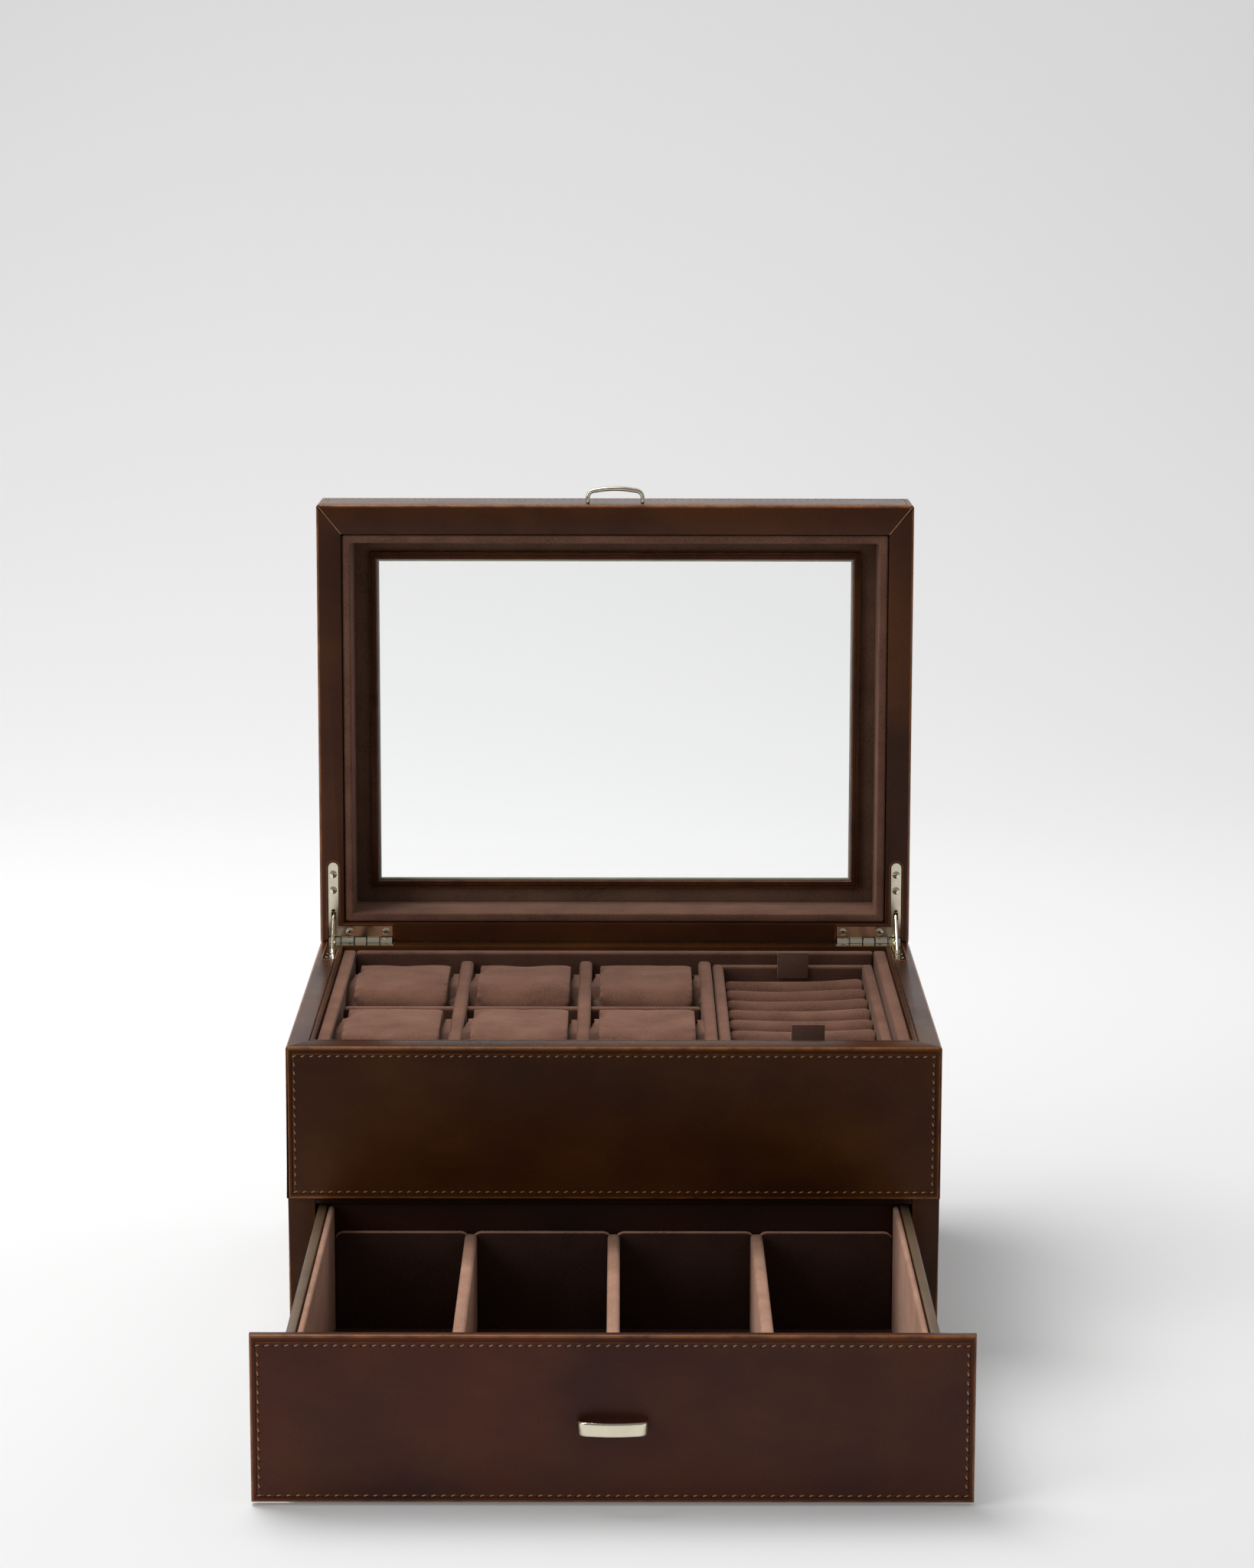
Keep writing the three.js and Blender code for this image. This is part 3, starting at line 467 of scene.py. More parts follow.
@dataclass
class Finishes:
    """Every finish on the case."""

    leather: bpy.types.Material = gathered(Leather("oxblood_brown_leather"))
    russet: bpy.types.Material = gathered(
        Leather(
            "russet_leather",
            deep=(0.048, 0.0150, 0.0110),
            body=(0.072, 0.0225, 0.0120),
            amber=(0.098, 0.0330, 0.0125),
            red=(0.076, 0.0165, 0.0120),
            redness=0.70,
            shine=0.14,
        )
    )
    rim_leather: bpy.types.Material = gathered(
        Leather(
            "rim_leather",
            deep=(0.042, 0.0125, 0.0040),
            body=(0.066, 0.0200, 0.0062),
            amber=(0.090, 0.0290, 0.0080),
            shine=0.20,
        )
    )
    # Painted shade: a much darker copy of the brown leather for the shelf, bottom and drawer back,
    # which sit in shade deep in the bay.
    shade_darkened_leather: bpy.types.Material = gathered(
        Leather(
            "shade_darkened_leather",
            deep=(0.010, 0.005, 0.003),
            body=(0.018, 0.008, 0.005),
            amber=(0.026, 0.011, 0.006),
            worn_and_highlit=(0.08, 0.04, 0.02),
        )
    )
    suede: bpy.types.Material = gathered(Suede("mauve_suede"))
    # Painted shade: the suede darkened on faces turned away from the light, by the marks on each
    # vertex.
    facing_shaded_suede: bpy.types.Material = gathered(Suede("facing_shaded_suede", facing_shaded=True))
    # Painted light: a lighter copy of the suede for the drawer's dividers, side and front linings
    # and the tops of the back lining, where light falls.
    painted_light_suede: bpy.types.Material = gathered(
        Suede("painted_light_suede", dark=(0.225, 0.118, 0.078), light=(0.420, 0.240, 0.168))
    )
    border_suede: bpy.types.Material = gathered(
        Suede("border_suede", dark=(0.098, 0.050, 0.032), light=(0.180, 0.100, 0.064))
    )
    # Painted shade: a darker copy of the suede with less sheen for the drawer's floor and back
    # lining, which lie in shade.
    painted_shade_suede: bpy.types.Material = gathered(
        Suede(
            "painted_shade_compartment_suede", dark=(0.028, 0.013, 0.009), light=(0.048, 0.024, 0.017),
            sheen_weight=0.12,
        )
    )
    glass_edge: bpy.types.Material = gathered(
        Plain("ground_glass_edge", (0.78, 0.77, 0.68), (0.62, 0.62, 0.54), 90.0, 0.25, 0.02)
    )
    nickel: bpy.types.Material = gathered(Metal("warm_nickel"))
    glass: bpy.types.Material = gathered(Pane("window_glass"))
    thread: bpy.types.Material = gathered(
        Plain("waxed_thread", (0.50, 0.26, 0.11), (0.34, 0.16, 0.062), 700.0, 0.5)
    )
    hole: bpy.types.Material = gathered(
        Plain("needle_hole", (0.006, 0.003, 0.002), (0.010, 0.005, 0.003), 500.0, 0.9)
    )
    cut_edge: bpy.types.Material = gathered(
        Plain("cut_leather_edge", (0.40, 0.22, 0.10), (0.24, 0.12, 0.05), 300.0, 0.6)
    )
    edge_paint: bpy.types.Material = gathered(
        Plain("edge_paint", (0.105, 0.062, 0.030), (0.130, 0.080, 0.042), 60.0, 0.5)
    )
    ribbon: bpy.types.Material = gathered(
        Plain("tab_ribbon", (0.098, 0.047, 0.032), (0.130, 0.065, 0.044), 900.0, 0.9, 0.5, 0.05)
    )
    felt: bpy.types.Material = gathered(
        Plain("base_felt", (0.024, 0.013, 0.010), (0.036, 0.020, 0.015), 1200.0, 1.0, 0.8, 0.3)
    )


# ---------------------------------------------------------------- shaping


def close(one: float, other: float) -> bool:
    """Whether two places along an axis are the same."""
    return abs(one - other) < TOUCHING


def linked(name: str, data: bpy.types.ID) -> bpy.types.Object:
    """A new object in the scene."""
    made = bpy.data.objects.new(name, data)
    bpy.context.scene.collection.objects.link(made)
    return made


class Shaper:
    """A mesh in millimetres that becomes one finished piece."""

    def __init__(self) -> None:
        """Starts an empty mesh with a value on each vertex for edge wear and painted light."""
        self.bm = bmesh.new()
        self.wear_and_painted_light = self.bm.verts.layers.float.new(WEAR_AND_PAINTED_LIGHT)

    @classmethod
    def of(cls, mesh: bmesh.types.BMesh) -> "Shaper":
        """Takes over a mesh that was shaped elsewhere."""
        made = cls()
        made.bm.free()
        made.bm = mesh
        made.wear_and_painted_light = mesh.verts.layers.float.new(WEAR_AND_PAINTED_LIGHT)
        return made

    def brush(self) -> None:
        """Paints shade by facing: marks faces turned up as lit and faces turned sideways or down as
        shaded.
        """
        self.bm.normal_update()
        for vert in self.bm.verts:
            facing_light = FACING_SHADE_BASE + FACING_LIGHT_UP * vert.normal.z - FACING_SHADE_ASIDE * abs(vert.normal.x)
            vert[self.wear_and_painted_light] = max(0.0, min(1.0, facing_light))

    def block(self, low: Point, high: Point) -> list[bmesh.types.BMVert]:
        """Adds a block.

        Args:
            low: its lowest corner.
            high: its highest corner.

        Returns:
            Its vertices.
        """
        size = [b - a for a, b in zip(low, high)]
        middle = [(a + b) / 2 for a, b in zip(low, high)]
        place = Matrix.Translation(middle) @ Matrix.Diagonal((*size, 1.0))
        return bmesh.ops.create_cube(self.bm, size=1.0, matrix=place)["verts"]

    def slab(self, outline: Sequence[Point], depth: float) -> list[bmesh.types.BMVert]:
        """Adds a slab over an outline in u, v; its show face is at w = 0.

        Args:
            outline: the show face's corners.
            depth: its thickness, towards -w.

        Returns:
            The back face's vertices, in the outline's order.
        """
        rim = [self.bm.verts.new((u, v, 0.0)) for u, v in outline]
        face = self.bm.faces.new(rim)
        made = bmesh.ops.extrude_face_region(self.bm, geom=[face])["geom"]
        back = [g for g in made if isinstance(g, bmesh.types.BMVert)]
        bmesh.ops.translate(self.bm, verts=back, vec=(0.0, 0.0, -depth))
        bmesh.ops.recalc_face_normals(self.bm, faces=self.bm.faces)
        return [min(back, key=lambda v: (v.co.xy - r.co.xy).length) for r in rim]

    def edges(self, test: Callable[[Vector], bool]) -> list[bmesh.types.BMEdge]:
        """The edges with both ends where the test holds."""
        return [e for e in self.bm.edges if all(test(v.co) for v in e.verts)]

    def round(
        self,
        edges: Sequence[bmesh.types.BMEdge],
        width: float,
        segments: int = 3,
        worn_and_highlit: float = 0.0,
    ) -> None:
        """Rounds edges, and marks the rounding as worn and highlit, which leather shows as wear
        with a painted highlight.

        Args:
            edges: the edges.
            width: the rounding's radius.
            segments: its steps.
            worn_and_highlit: how worn it is and how strongly its painted highlight shows, from 0 to
                1.
        """
        made = bmesh.ops.bevel(
            self.bm,
            geom=list(edges),
            offset=width,
            offset_type="OFFSET",
            affect="EDGES",
            segments=segments,
            profile=0.5,
            material=-1,
            clamp_overlap=True,
        )
        rounding = set(made["faces"])
        for vert in made["verts"]:
            if all(face in rounding for face in vert.link_faces):
                vert[self.wear_and_painted_light] = worn_and_highlit

    def soften(self, width: float, segments: int = 3, worn_and_highlit: float = 0.0) -> None:
        """Rounds every sharp edge.

        Args:
            width: the rounding's radius.
            segments: its steps.
            worn_and_highlit: how worn it is and how strongly its painted highlight shows, from 0 to
                1.
        """
        sharp = [e for e in self.bm.edges if e.calc_face_angle(0.0) > 0.6]
        self.round(sharp, width, segments, worn_and_highlit)

    def show_face(self) -> bmesh.types.BMFace:
        """The widest face that looks along +w."""
        facing = [f for f in self.bm.faces if f.normal.z > 0.99]
        return max(facing, key=lambda f: f.calc_area())

    def crease(
        self, face: bmesh.types.BMFace, steps: Iterable[tuple[float, float, float]]
    ) -> None:
        """Works lines round a face, from its border inwards.

        Args:
            face: the face.
            steps: for each line, how far in it goes, how deep, and how worn and highlit it is.
        """
        for thickness, depth, worn_and_highlit in steps:
            bmesh.ops.inset_region(
                self.bm,
                faces=[face],
                thickness=thickness,
                depth=depth,
                use_even_offset=True,
                use_boundary=True,
            )
            for vert in face.verts:
                vert[self.wear_and_painted_light] = worn_and_highlit

    def cut(self, place: Point, normal: Point) -> None:
        """Cuts the mesh's faces along a plane, keeping both sides."""
        everything = [*self.bm.verts, *self.bm.edges, *self.bm.faces]
        bmesh.ops.bisect_plane(
            self.bm, geom=everything, plane_co=place, plane_no=normal, dist=1e-4
        )

    def turn(self, matrix: Matrix) -> None:
        """Moves the whole mesh by a matrix."""
        self.bm.transform(matrix)

    def shift(self, x: float = 0.0, y: float = 0.0, z: float = 0.0) -> None:
        """Moves the whole mesh along the axes."""
        self.turn(Matrix.Translation((x, y, z)))

    def flip(self) -> None:
        """Mirrors the whole mesh in the plane where the case and the lid meet."""
        self.turn(Matrix.Translation((0, 0, 2 * MATING_Z)) @ Matrix.Scale(-1, 4, (0, 0, 1)))
        bmesh.ops.reverse_faces(self.bm, faces=self.bm.faces)

    def written(self, name: str) -> bpy.types.Mesh:
        """Writes the mesh out, and frees this one."""
        mesh = bpy.data.meshes.new(name)
        self.bm.to_mesh(mesh)
        self.bm.free()
        return mesh

    def absorb(self, part: "Shaper") -> None:
        """Takes another mesh in, and frees it."""
        mesh = part.written("part")
        self.bm.from_mesh(mesh)
        bpy.data.meshes.remove(mesh)

    def tube(self, path: Sequence[Vector], radius: float, sides: int = 8) -> None:
        """Adds a round bar along a path.

        Args:
            path: its points.
            radius: its radius.
            sides: how many sides it has.
        """
        rings: list[list[bmesh.types.BMEdge]] = []
        for index, point in enumerate(path):
            ahead = path[min(index + 1, len(path) - 1)]
            behind = path[max(index - 1, 0)]
            along = (ahead - behind).normalized()
            place = Matrix.Translation(point) @ along.to_track_quat("Z", "Y").to_matrix().to_4x4()
            capped = index in (0, len(path) - 1)
            ring = bmesh.ops.create_circle(
                self.bm, cap_ends=capped, segments=sides, radius=radius, matrix=place
            )["verts"]
            inside = set(ring)
            rings.append(
                [e for e in self.bm.edges if e.verts[0] in inside and e.verts[1] in inside]
            )
        for one, other in zip(rings, rings[1:]):
            bmesh.ops.bridge_loops(self.bm, edges=[*one, *other])

    def finish(
        self,
        name: str,
        body: Body,
        slot: Slot,
        materials: Sequence[bpy.types.Material],
        nodes: Sequence[str] = (),
        sharp: float = 0.7,
    ) -> bpy.types.Object:
        """Makes the object, in metres at its rest place, riding on its body.

        Args:
            name: the piece's name.
            body: the body it moves with.
            slot: not used.
            materials: its materials, in the order of its faces' indices.
            nodes: the frame's nodes that it stands for.
            sharp: the angle past which an edge stays sharp.

        Returns:
            The object.
        """
        self.turn(Matrix.Scale(MM, 4) @ body.placing())
        for face in self.bm.faces:
            face.smooth = True
        for edge in self.bm.edges:
            edge.smooth = edge.calc_face_angle(0.0) < sharp
        mesh = self.written(name)
        for material in materials:
            mesh.materials.append(material)
        return settle(linked(name, mesh), body, nodes)


def settle(
    made: bpy.types.Object, body: Body, nodes: Sequence[str]
) -> bpy.types.Object:
    """Puts a finished piece on its body and hides what it stands for.

    Args:
        made: the piece.
        body: the body it moves with.
        nodes: the frame's nodes that it stands for.

    Returns:
        The piece.
    """
    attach(made, body.value)
    if nodes:
        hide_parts(*nodes)
    LOG.info("made %s on %s", made.name, body.value)
    return made


def paint(verts: Iterable[bmesh.types.BMVert], index: int) -> None:
    """Gives the faces round some vertices one of the piece's materials."""
    for face in {f for v in verts for f in v.link_faces}:
        face.material_index = index


def evaluated(piece: bpy.types.Object) -> bpy.types.Mesh:
    """A piece's mesh with its modifiers applied, which are then cleared."""
    view = bpy.context.evaluated_depsgraph_get()
    mesh = bpy.data.meshes.new_from_object(piece.evaluated_get(view))
    piece.modifiers.clear()
    return mesh


def carve(target: bpy.types.Object, cutter: Shaper, body: Body) -> None:
    """Cuts a shape out of a finished piece.

    Args:
        target: the piece.
        cutter: what it loses, in millimetres on the shut case.
        body: the body that the piece moves with.
    """
    cutter.turn(Matrix.Scale(MM, 4) @ body.placing())
    tool = linked("cutter", cutter.written("cutter"))
    step = target.modifiers.new("pocket", "BOOLEAN")
    step.operation = "DIFFERENCE"
    step.solver = "EXACT"
    step.object = tool
    target.data = evaluated(target)
    bpy.data.objects.remove(tool)


@dataclass
class Stitching:
    """Saddle stitches: slanted thread, each with a needle hole at its lower end."""

    pitch: float = 3.86
    length: float = 2.1
    width: float = 0.60
    height: float = 0.5
    hole: float = 0.52

    def run(self, shaper: Shaper, start: Point, end: Point, lean: float = 0.30) -> None:
        """Sews along a straight line on the face w = 0.

        Args:
            shaper: the mesh to sew into.
            start: the line's first point in u, v.
            end: its last point.
            lean: how far each stitch leans off the line, in radians.
        """
        first, last = Vector((*start, 0.0)), Vector((*end, 0.0))
        span = (last - first).length
        count = max(1, round(span / self.pitch))
        heading = math.atan2(last.y - first.y, last.x - first.x)
        for n in range(count + 1):
            spot = first.lerp(last, n / count)
            jitter = 0.10 * math.sin(12.9898 * n + 4.1414 * span)
            self.stitch(shaper, spot, heading + lean + jitter)

    def stitch(self, shaper: Shaper, spot: Vector, angle: float) -> None:
        """One stitch and the needle hole it dips into.

        Args:
            shaper: the mesh to sew into.
            spot: the stitch's middle.
            angle: which way it lies on the face.
        """
        turn = Matrix.Translation(spot) @ Matrix.Rotation(angle, 4, "Z")
        size = Matrix.Diagonal((self.length / 2, self.width / 2, self.height / 2, 1.0))
        thread = bmesh.ops.create_uvsphere(
            shaper.bm, u_segments=6, v_segments=4, radius=1.0, matrix=turn @ size
        )["verts"]
        paint(thread, 1)
        offset = Matrix.Translation((-self.length * 0.60, 0.0, 0.015))
        pit = bmesh.ops.create_circle(
            shaper.bm, cap_ends=True, segments=6, radius=self.hole, matrix=turn @ offset
        )["verts"]
        paint(pit, 2)

    def around(self, shaper: Shaper, low: Point, high: Point) -> None:
        """Sews round a rectangle.

        Args:
            shaper: the mesh to sew into.
            low: its lowest corner in u, v.
            high: its highest corner.
        """
        (u0, v0), (u1, v1) = low, high
        self.run(shaper, (u0, v1), (u1, v1))
        self.run(shaper, (u0, v0), (u1, v0))
        self.run(shaper, (u0, v0 + self.pitch), (u0, v1 - self.pitch))
        self.run(shaper, (u1, v0 + self.pitch), (u1, v1 - self.pitch))


class Hide(Enum):
    """The leather that covers a board, by its name among the finishes."""

    BROWN = "leather"
    RIM = "rim_leather"
    RUSSET = "russet"


SEWING = Stitching()
GROOVE_HALF_WIDTH = 0.45
GROOVE_DEPTH = 0.55
RIDGE = 2.2
TOP_BEVEL = 2.9
# Border crease steps: inset, depth, and wear with painted highlight; the third step raises a line
# that is painted partly worn and highlit.
BORDER = ((0.9, 0.0, 0.0), (0.35, -0.32, 0.0), (0.35, 0.26, 0.40), (0.6, 0.06, 0.0))


@dataclass
class Board:
    """A leather-covered board with a show face, rounded edges and a creased, stitched border; its
    edges and its bead carry wear with a painted highlight.
    """

    name: str
    body: Body
    facing: Facing
    outline: Sequence[Point]
    depth: float
    ends: tuple[float, float] = (0.0, 0.0)
    rounding: float = 1.5
    top_bevel: float = 0.0
    ridge: float = 0.0
    rim_up: bool = True
    sewn: tuple[Point, Point] | None = None
    nodes: Sequence[str] = ()
    hide: Hide = Hide.BROWN
    inner_rounding: float = 0.6
    inner_wear_and_highlight: float = 0.3

    def build(self, finishes: Finishes) -> bpy.types.Object:
        """Builds the board and its stitches.

        Args:
            finishes: the case's finishes.

        Returns:
            The board.
        """
        shaper = Shaper()
        back = shaper.slab(self.outline, self.depth)
        self.mitre(back)
        rim = max(v for _, v in self.outline) if self.rim_up else min(v for _, v in self.outline)
        if self.ridge:
            self.work_ridge(shaper, rim)
        if self.top_bevel:
            chamfer = shaper.edges(lambda co: close(co.y, rim) and close(co.z, 0.0))
            shaper.round(chamfer, self.top_bevel, 1)
        outer = shaper.edges(lambda co: close(co.z, 0.0))
        # The outer rounding is marked fully worn: worn leather with a painted edge highlight; the
        # inner rounding less so.
        shaper.round(outer, self.rounding, 4, 1.0)
        inner = shaper.edges(lambda co: close(co.y, rim) and close(co.z, -self.depth))
        shaper.round(inner, self.inner_rounding, 2, self.inner_wear_and_highlight)
        shaper.crease(shaper.show_face(), BORDER)
        if self.sewn:
            SEWING.around(shaper, *self.sewn)
        shaper.turn(self.facing.matrix())
        materials = (getattr(finishes, self.hide.value), finishes.thread, finishes.hole)
        return shaper.finish(self.name, self.body, Slot.LEATHER, materials, self.nodes)

    def mitre(self, back: Sequence[bmesh.types.BMVert]) -> None:
        """Draws the back face's ends in, for the corner joints.

        Args:
            back: the back face's vertices, in the outline's order.
        """
        low = min(u for u, _ in self.outline)
        high = max(u for u, _ in self.outline)
        for vert in back:
            if close(vert.co.x, low):
                vert.co.x += self.ends[0]
            elif close(vert.co.x, high):
                vert.co.x -= self.ends[1]

    def work_ridge(self, shaper: Shaper, rim: float) -> None:
        """Presses a groove along the rim, which leaves a ridge next to the inner edge.

        Args:
            shaper: the mesh.
            rim: the height of the rim in v.
        """
        sunk = -self.depth + self.ridge
        for place in (sunk - GROOVE_HALF_WIDTH, sunk, sunk + GROOVE_HALF_WIDTH):
            shaper.cut((0.0, 0.0, place), (0.0, 0.0, 1.0))
        for vert in shaper.bm.verts:
            if close(vert.co.z, sunk) and close(vert.co.y, rim):
                vert.co.y += -GROOVE_DEPTH if self.rim_up else GROOVE_DEPTH


def corners(node: str, body: Body = Body.CASE) -> tuple[Vector, Vector]:
    """A node's lowest and highest corner in millimetres, with the drawer pushed in if asked."""
    low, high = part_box(node)
    back = Vector((0.0, DRAWER_OUT if body is Body.DRAWER else 0.0, 0.0))
    return low / MM + back, high / MM + back


def suede_block(
    node: str, body: Body, suede: bpy.types.Material, rounding: float = 1.3
) -> bpy.types.Object:
    """A board wrapped in suede, with soft edges.

    Args:
        node: the frame's node that it stands for.
        body: the body it moves with.
        suede: its finish.
        rounding: the radius of its edges.

    Returns:
        The piece.
    """
    shaper = Shaper()
    shaper.block(*corners(node, body))
    shaper.soften(rounding, 3)
    # Painted shade by facing: faces turned up are marked lighter, sideways faces darker.
    shaper.brush()
    return shaper.finish(f"suede_{node}", body, Slot.SUEDE, (suede,), (node,), 1.2)


def rectangle(u0: float, u1: float, v0: float, v1: float) -> list[Point]:
    """A rectangle's corners in order."""
    return [(u0, v0), (u1, v0), (u1, v1), (u0, v1)]


# ---------------------------------------------------------------- case


@dataclass
class CaseWalls:
    """The case's outer boards, its shelf, bottom and felt."""

    floor: float = 1.5
    seam: float = 72.4
    top: float = 141.85
    bay_front: float = -103.9

    def build(self, finishes: Finishes) -> None:
        """Builds every board of the case.

        Args:
            finishes: the case's finishes.
        """
        self.front().build(finishes)
        for facing, label in ((Facing.LEFT, "left"), (Facing.RIGHT, "right")):
            side = self.side(facing, label).build(finishes)
            carve(side, hinge_pocket(1 if label == "right" else -1, Body.CASE), Body.CASE)
        back = self.back().build(finishes)
        for sign in (-1, 1):
            carve(back, hinge_pocket(sign, Body.CASE), Body.CASE)
        # The shelf and the bottom take the shade-darkened leather: painted shade.
        for node, material in (
            ("drawer_bay_shelf", finishes.shade_darkened_leather),
            ("bottom_board", finishes.shade_darkened_leather),
            ("base_felt", finishes.felt),
        ):
            dress(node, material)

    def front(self) -> Board:
        """The upper front."""
        return Board(
            "upper_front", Body.CASE, Facing.FRONT,
            rectangle(-SHOW_HALF, SHOW_HALF, self.seam, self.top), FRONT_WALL, (WALL, WALL),
            ridge=RIDGE, nodes=("case_wall_front",),
            sewn=((3.7 - SHOW_HALF, self.seam + 3.4), (SHOW_HALF - 3.7, self.top - 4.2)),
        )

    def back(self) -> Board:
        """The back."""
        return Board(
            "back_wall", Body.CASE, Facing.BACK,
            rectangle(-SHOW_HALF, SHOW_HALF, self.floor, self.top), WALL, (WALL, WALL),
            top_bevel=TOP_BEVEL, ridge=RIDGE, nodes=("case_wall_back",),
            sewn=((3.7 - SHOW_HALF, self.floor + 3.6), (SHOW_HALF - 3.7, self.top - 6.6)),
        )

    def side(self, facing: Facing, label: str) -> Board:
        """One side, stepped back below the seam to let the drawer's front shut flush.

        Args:
            facing: which side it is.
            label: left or right.

        Returns:
            The board.
        """
        sign = 1.0 if facing is Facing.RIGHT else -1.0
        outline = [
            (-HALF_DEPTH * sign, self.seam),
            (-HALF_DEPTH * sign, self.top),
            ((HALF_DEPTH - CHAMFER_RUN) * sign, self.top),
            (HALF_DEPTH * sign, self.top - CHAMFER_FALL),
            (HALF_DEPTH * sign, self.floor),
            (self.bay_front * sign, self.floor),
            (self.bay_front * sign, self.seam),
        ]
        ends = (FRONT_WALL, WALL) if sign > 0 else (WALL, FRONT_WALL)
        near, far = sorted((self.bay_front * sign, HALF_DEPTH * sign))
        return Board(
            f"{label}_wall", Body.CASE, facing, outline[::-1] if sign > 0 else outline,
            WALL, ends, ridge=RIDGE, nodes=(f"case_wall_{label}",),
            sewn=((near + 3.8, self.floor + 3.6), (far - 3.8, self.top - 6.6)),
        )


def dress(node: str, material: bpy.types.Material) -> None:
    """Gives a frame node its finish."""
    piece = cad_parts[node]
    piece.data.materials.clear()
    piece.data.materials.append(material)


def leaf_outline(sign: int, room: float) -> list[Point]:
    """The L-shaped outline of a hinge leaf from above, grown all round.

    Args:
        sign: -1 for the left hinge, 1 for the right.
        room: how much it is grown.

    Returns:
        Its corners.
    """
    outer, arm, back, deep = 140.8 + room, 135.9 - room, 109.4 - room, 98.7 - room
    radius = 2.45 + room
    tip = HINGE_Y - 39.5 - room + radius
    middle = (outer + arm) / 2
    round_end = [
        (middle - radius * math.cos(math.pi * n / 10), tip - radius * math.sin(math.pi * n / 10))
        for n in range(11)
    ]
    edge = HALF_DEPTH + 1.0
    points = [(outer, edge), (back, edge), (back, deep), (arm, deep), *round_end]
    placed = [(sign * x, y) for x, y in points]
    return placed if sign > 0 else placed[::-1]


def hinge_pocket(sign: int, body: Body) -> Shaper:
    """What a wall loses to a hinge.

    Args:
        sign: -1 for the left hinge, 1 for the right.
        body: the case or the lid.

    Returns:
        The cutter, on the shut case.
    """
    cutter = Shaper()
    cutter.slab(leaf_outline(sign, 0.35), 4.0)
    cutter.shift(z=MATING_Z + 1.9)
    if body is Body.LID:
        cutter.flip()
    return cutter


@dataclass
class TrayLining:
    """The suede liners and dividers of the upper tray."""

    liner_rounding: float = 1.3
    divider_rounding: float = 1.7
    cross_rounding: float = 1.6

    def build(self, finishes: Finishes) -> None:
        """Builds the liners and dividers from the frame's boxes.

        Args:
            finishes: the case's finishes.
        """
        for node, rounding in (
            ("tray_floor_pad", self.liner_rounding),
            ("tray_liner_left", self.liner_rounding),
            ("tray_liner_right", self.liner_rounding),
            ("tray_liner_front", self.liner_rounding),
            ("tray_liner_back", self.liner_rounding),
            ("watch_divider_left", self.divider_rounding),
            ("watch_divider_middle", self.divider_rounding),
            ("watch_divider_right", self.divider_rounding),
            ("cross_divider", self.cross_rounding),
        ):
            suede_block(node, Body.CASE, finishes.facing_shaded_suede, rounding)


# ---------------------------------------------------------------- padding


STUFFING_FRAMES = 20


def even(source: bpy.types.Object, voxel: float) -> None:
    """Gives a closed form an even mesh.

    Args:
        source: the piece, in metres.
        voxel: the remesh size in metres.
    """
    remesh = source.modifiers.new("even", "REMESH")
    remesh.mode = "VOXEL"
    remesh.voxel_size = voxel
    source.data = evaluated(source)


def inflate(source: bpy.types.Object, pressure: float, cap: float) -> None:
    """Swells a closed form as stuffed cloth, and keeps the result.

    Args:
        source: the piece, in metres.
        pressure: the stuffing's pressure.
        cap: the furthest a point may move, in metres.
    """
    start = [v.co.copy() for v in source.data.vertices]
    cloth = source.modifiers.new("stuffing", "CLOTH")
    cloth.settings.quality = 5
    cloth.settings.mass = 0.15
    cloth.settings.tension_stiffness = 18.0
    cloth.settings.compression_stiffness = 18.0
    cloth.settings.shear_stiffness = 6.0
    cloth.settings.bending_stiffness = 0.6
    cloth.settings.use_pressure = True
    cloth.settings.uniform_pressure_force = pressure
    cloth.settings.effector_weights.gravity = 0.0
    cloth.point_cache.frame_start = 1
    cloth.point_cache.frame_end = STUFFING_FRAMES
    scene = bpy.context.scene
    for number in range(1, STUFFING_FRAMES + 1):
        scene.frame_set(number)
    swollen = evaluated(source)
    for vert, old in zip(swollen.vertices, start):
        move = vert.co - old
        if move.length > cap:
            vert.co = old + move.normalized() * cap
    source.data = swollen
    scene.frame_set(1)


def stuffed(shaper: Shaper, voxel: float, cap: float) -> bpy.types.Mesh:
    """A closed form in millimetres, swollen as stuffed cloth and kept in metres.

    Args:
        shaper: the form.
        voxel: the size of its even mesh in metres.
        cap: the furthest a point may move, in metres.

    Returns:
        Its mesh.
    """
    shaper.turn(Matrix.Scale(MM, 4))
    source = linked("form", shaper.written("form"))
    even(source, voxel)
    inflate(source, 3.0, cap)
    form = source.data
    bpy.data.objects.remove(source)
    return form


def smoothed(mesh: bpy.types.Mesh) -> bmesh.types.BMesh:
    """A subdivided and smoothed copy of a mesh, in millimetres."""
    made = bmesh.new()
    made.from_mesh(mesh)
    made.transform(Matrix.Scale(1 / MM, 4))
    for _ in range(2):
        bmesh.ops.smooth_vert(
            made, verts=made.verts, factor=0.5, use_axis_x=True, use_axis_y=True, use_axis_z=True
        )
    bmesh.ops.subdivide_edges(made, edges=made.edges, cuts=1, use_grid_fill=True, smooth=0.6)
    return made


def oval(half_length: float, half_height: float, power: float, steps: int) -> list[Point]:
    """A squared oval's points, in order."""
    points = []
    for n in range(steps):
        angle = 2 * math.pi * n / steps
        c, s = math.cos(angle), math.sin(angle)
        points.append(
            (
                half_length * math.copysign(abs(c) ** (2 / power), c),
                half_height * math.copysign(abs(s) ** (2 / power), s),
            )
        )
    return points


def upright(shaper: Shaper) -> None:
    """Turns u, v, w to y, z, x: a slab's thickness comes to lie along the case's width."""
    shaper.turn(Matrix(((0, 0, 1, 0), (1, 0, 0, 0), (0, 1, 0, 0), (0, 0, 0, 1))))


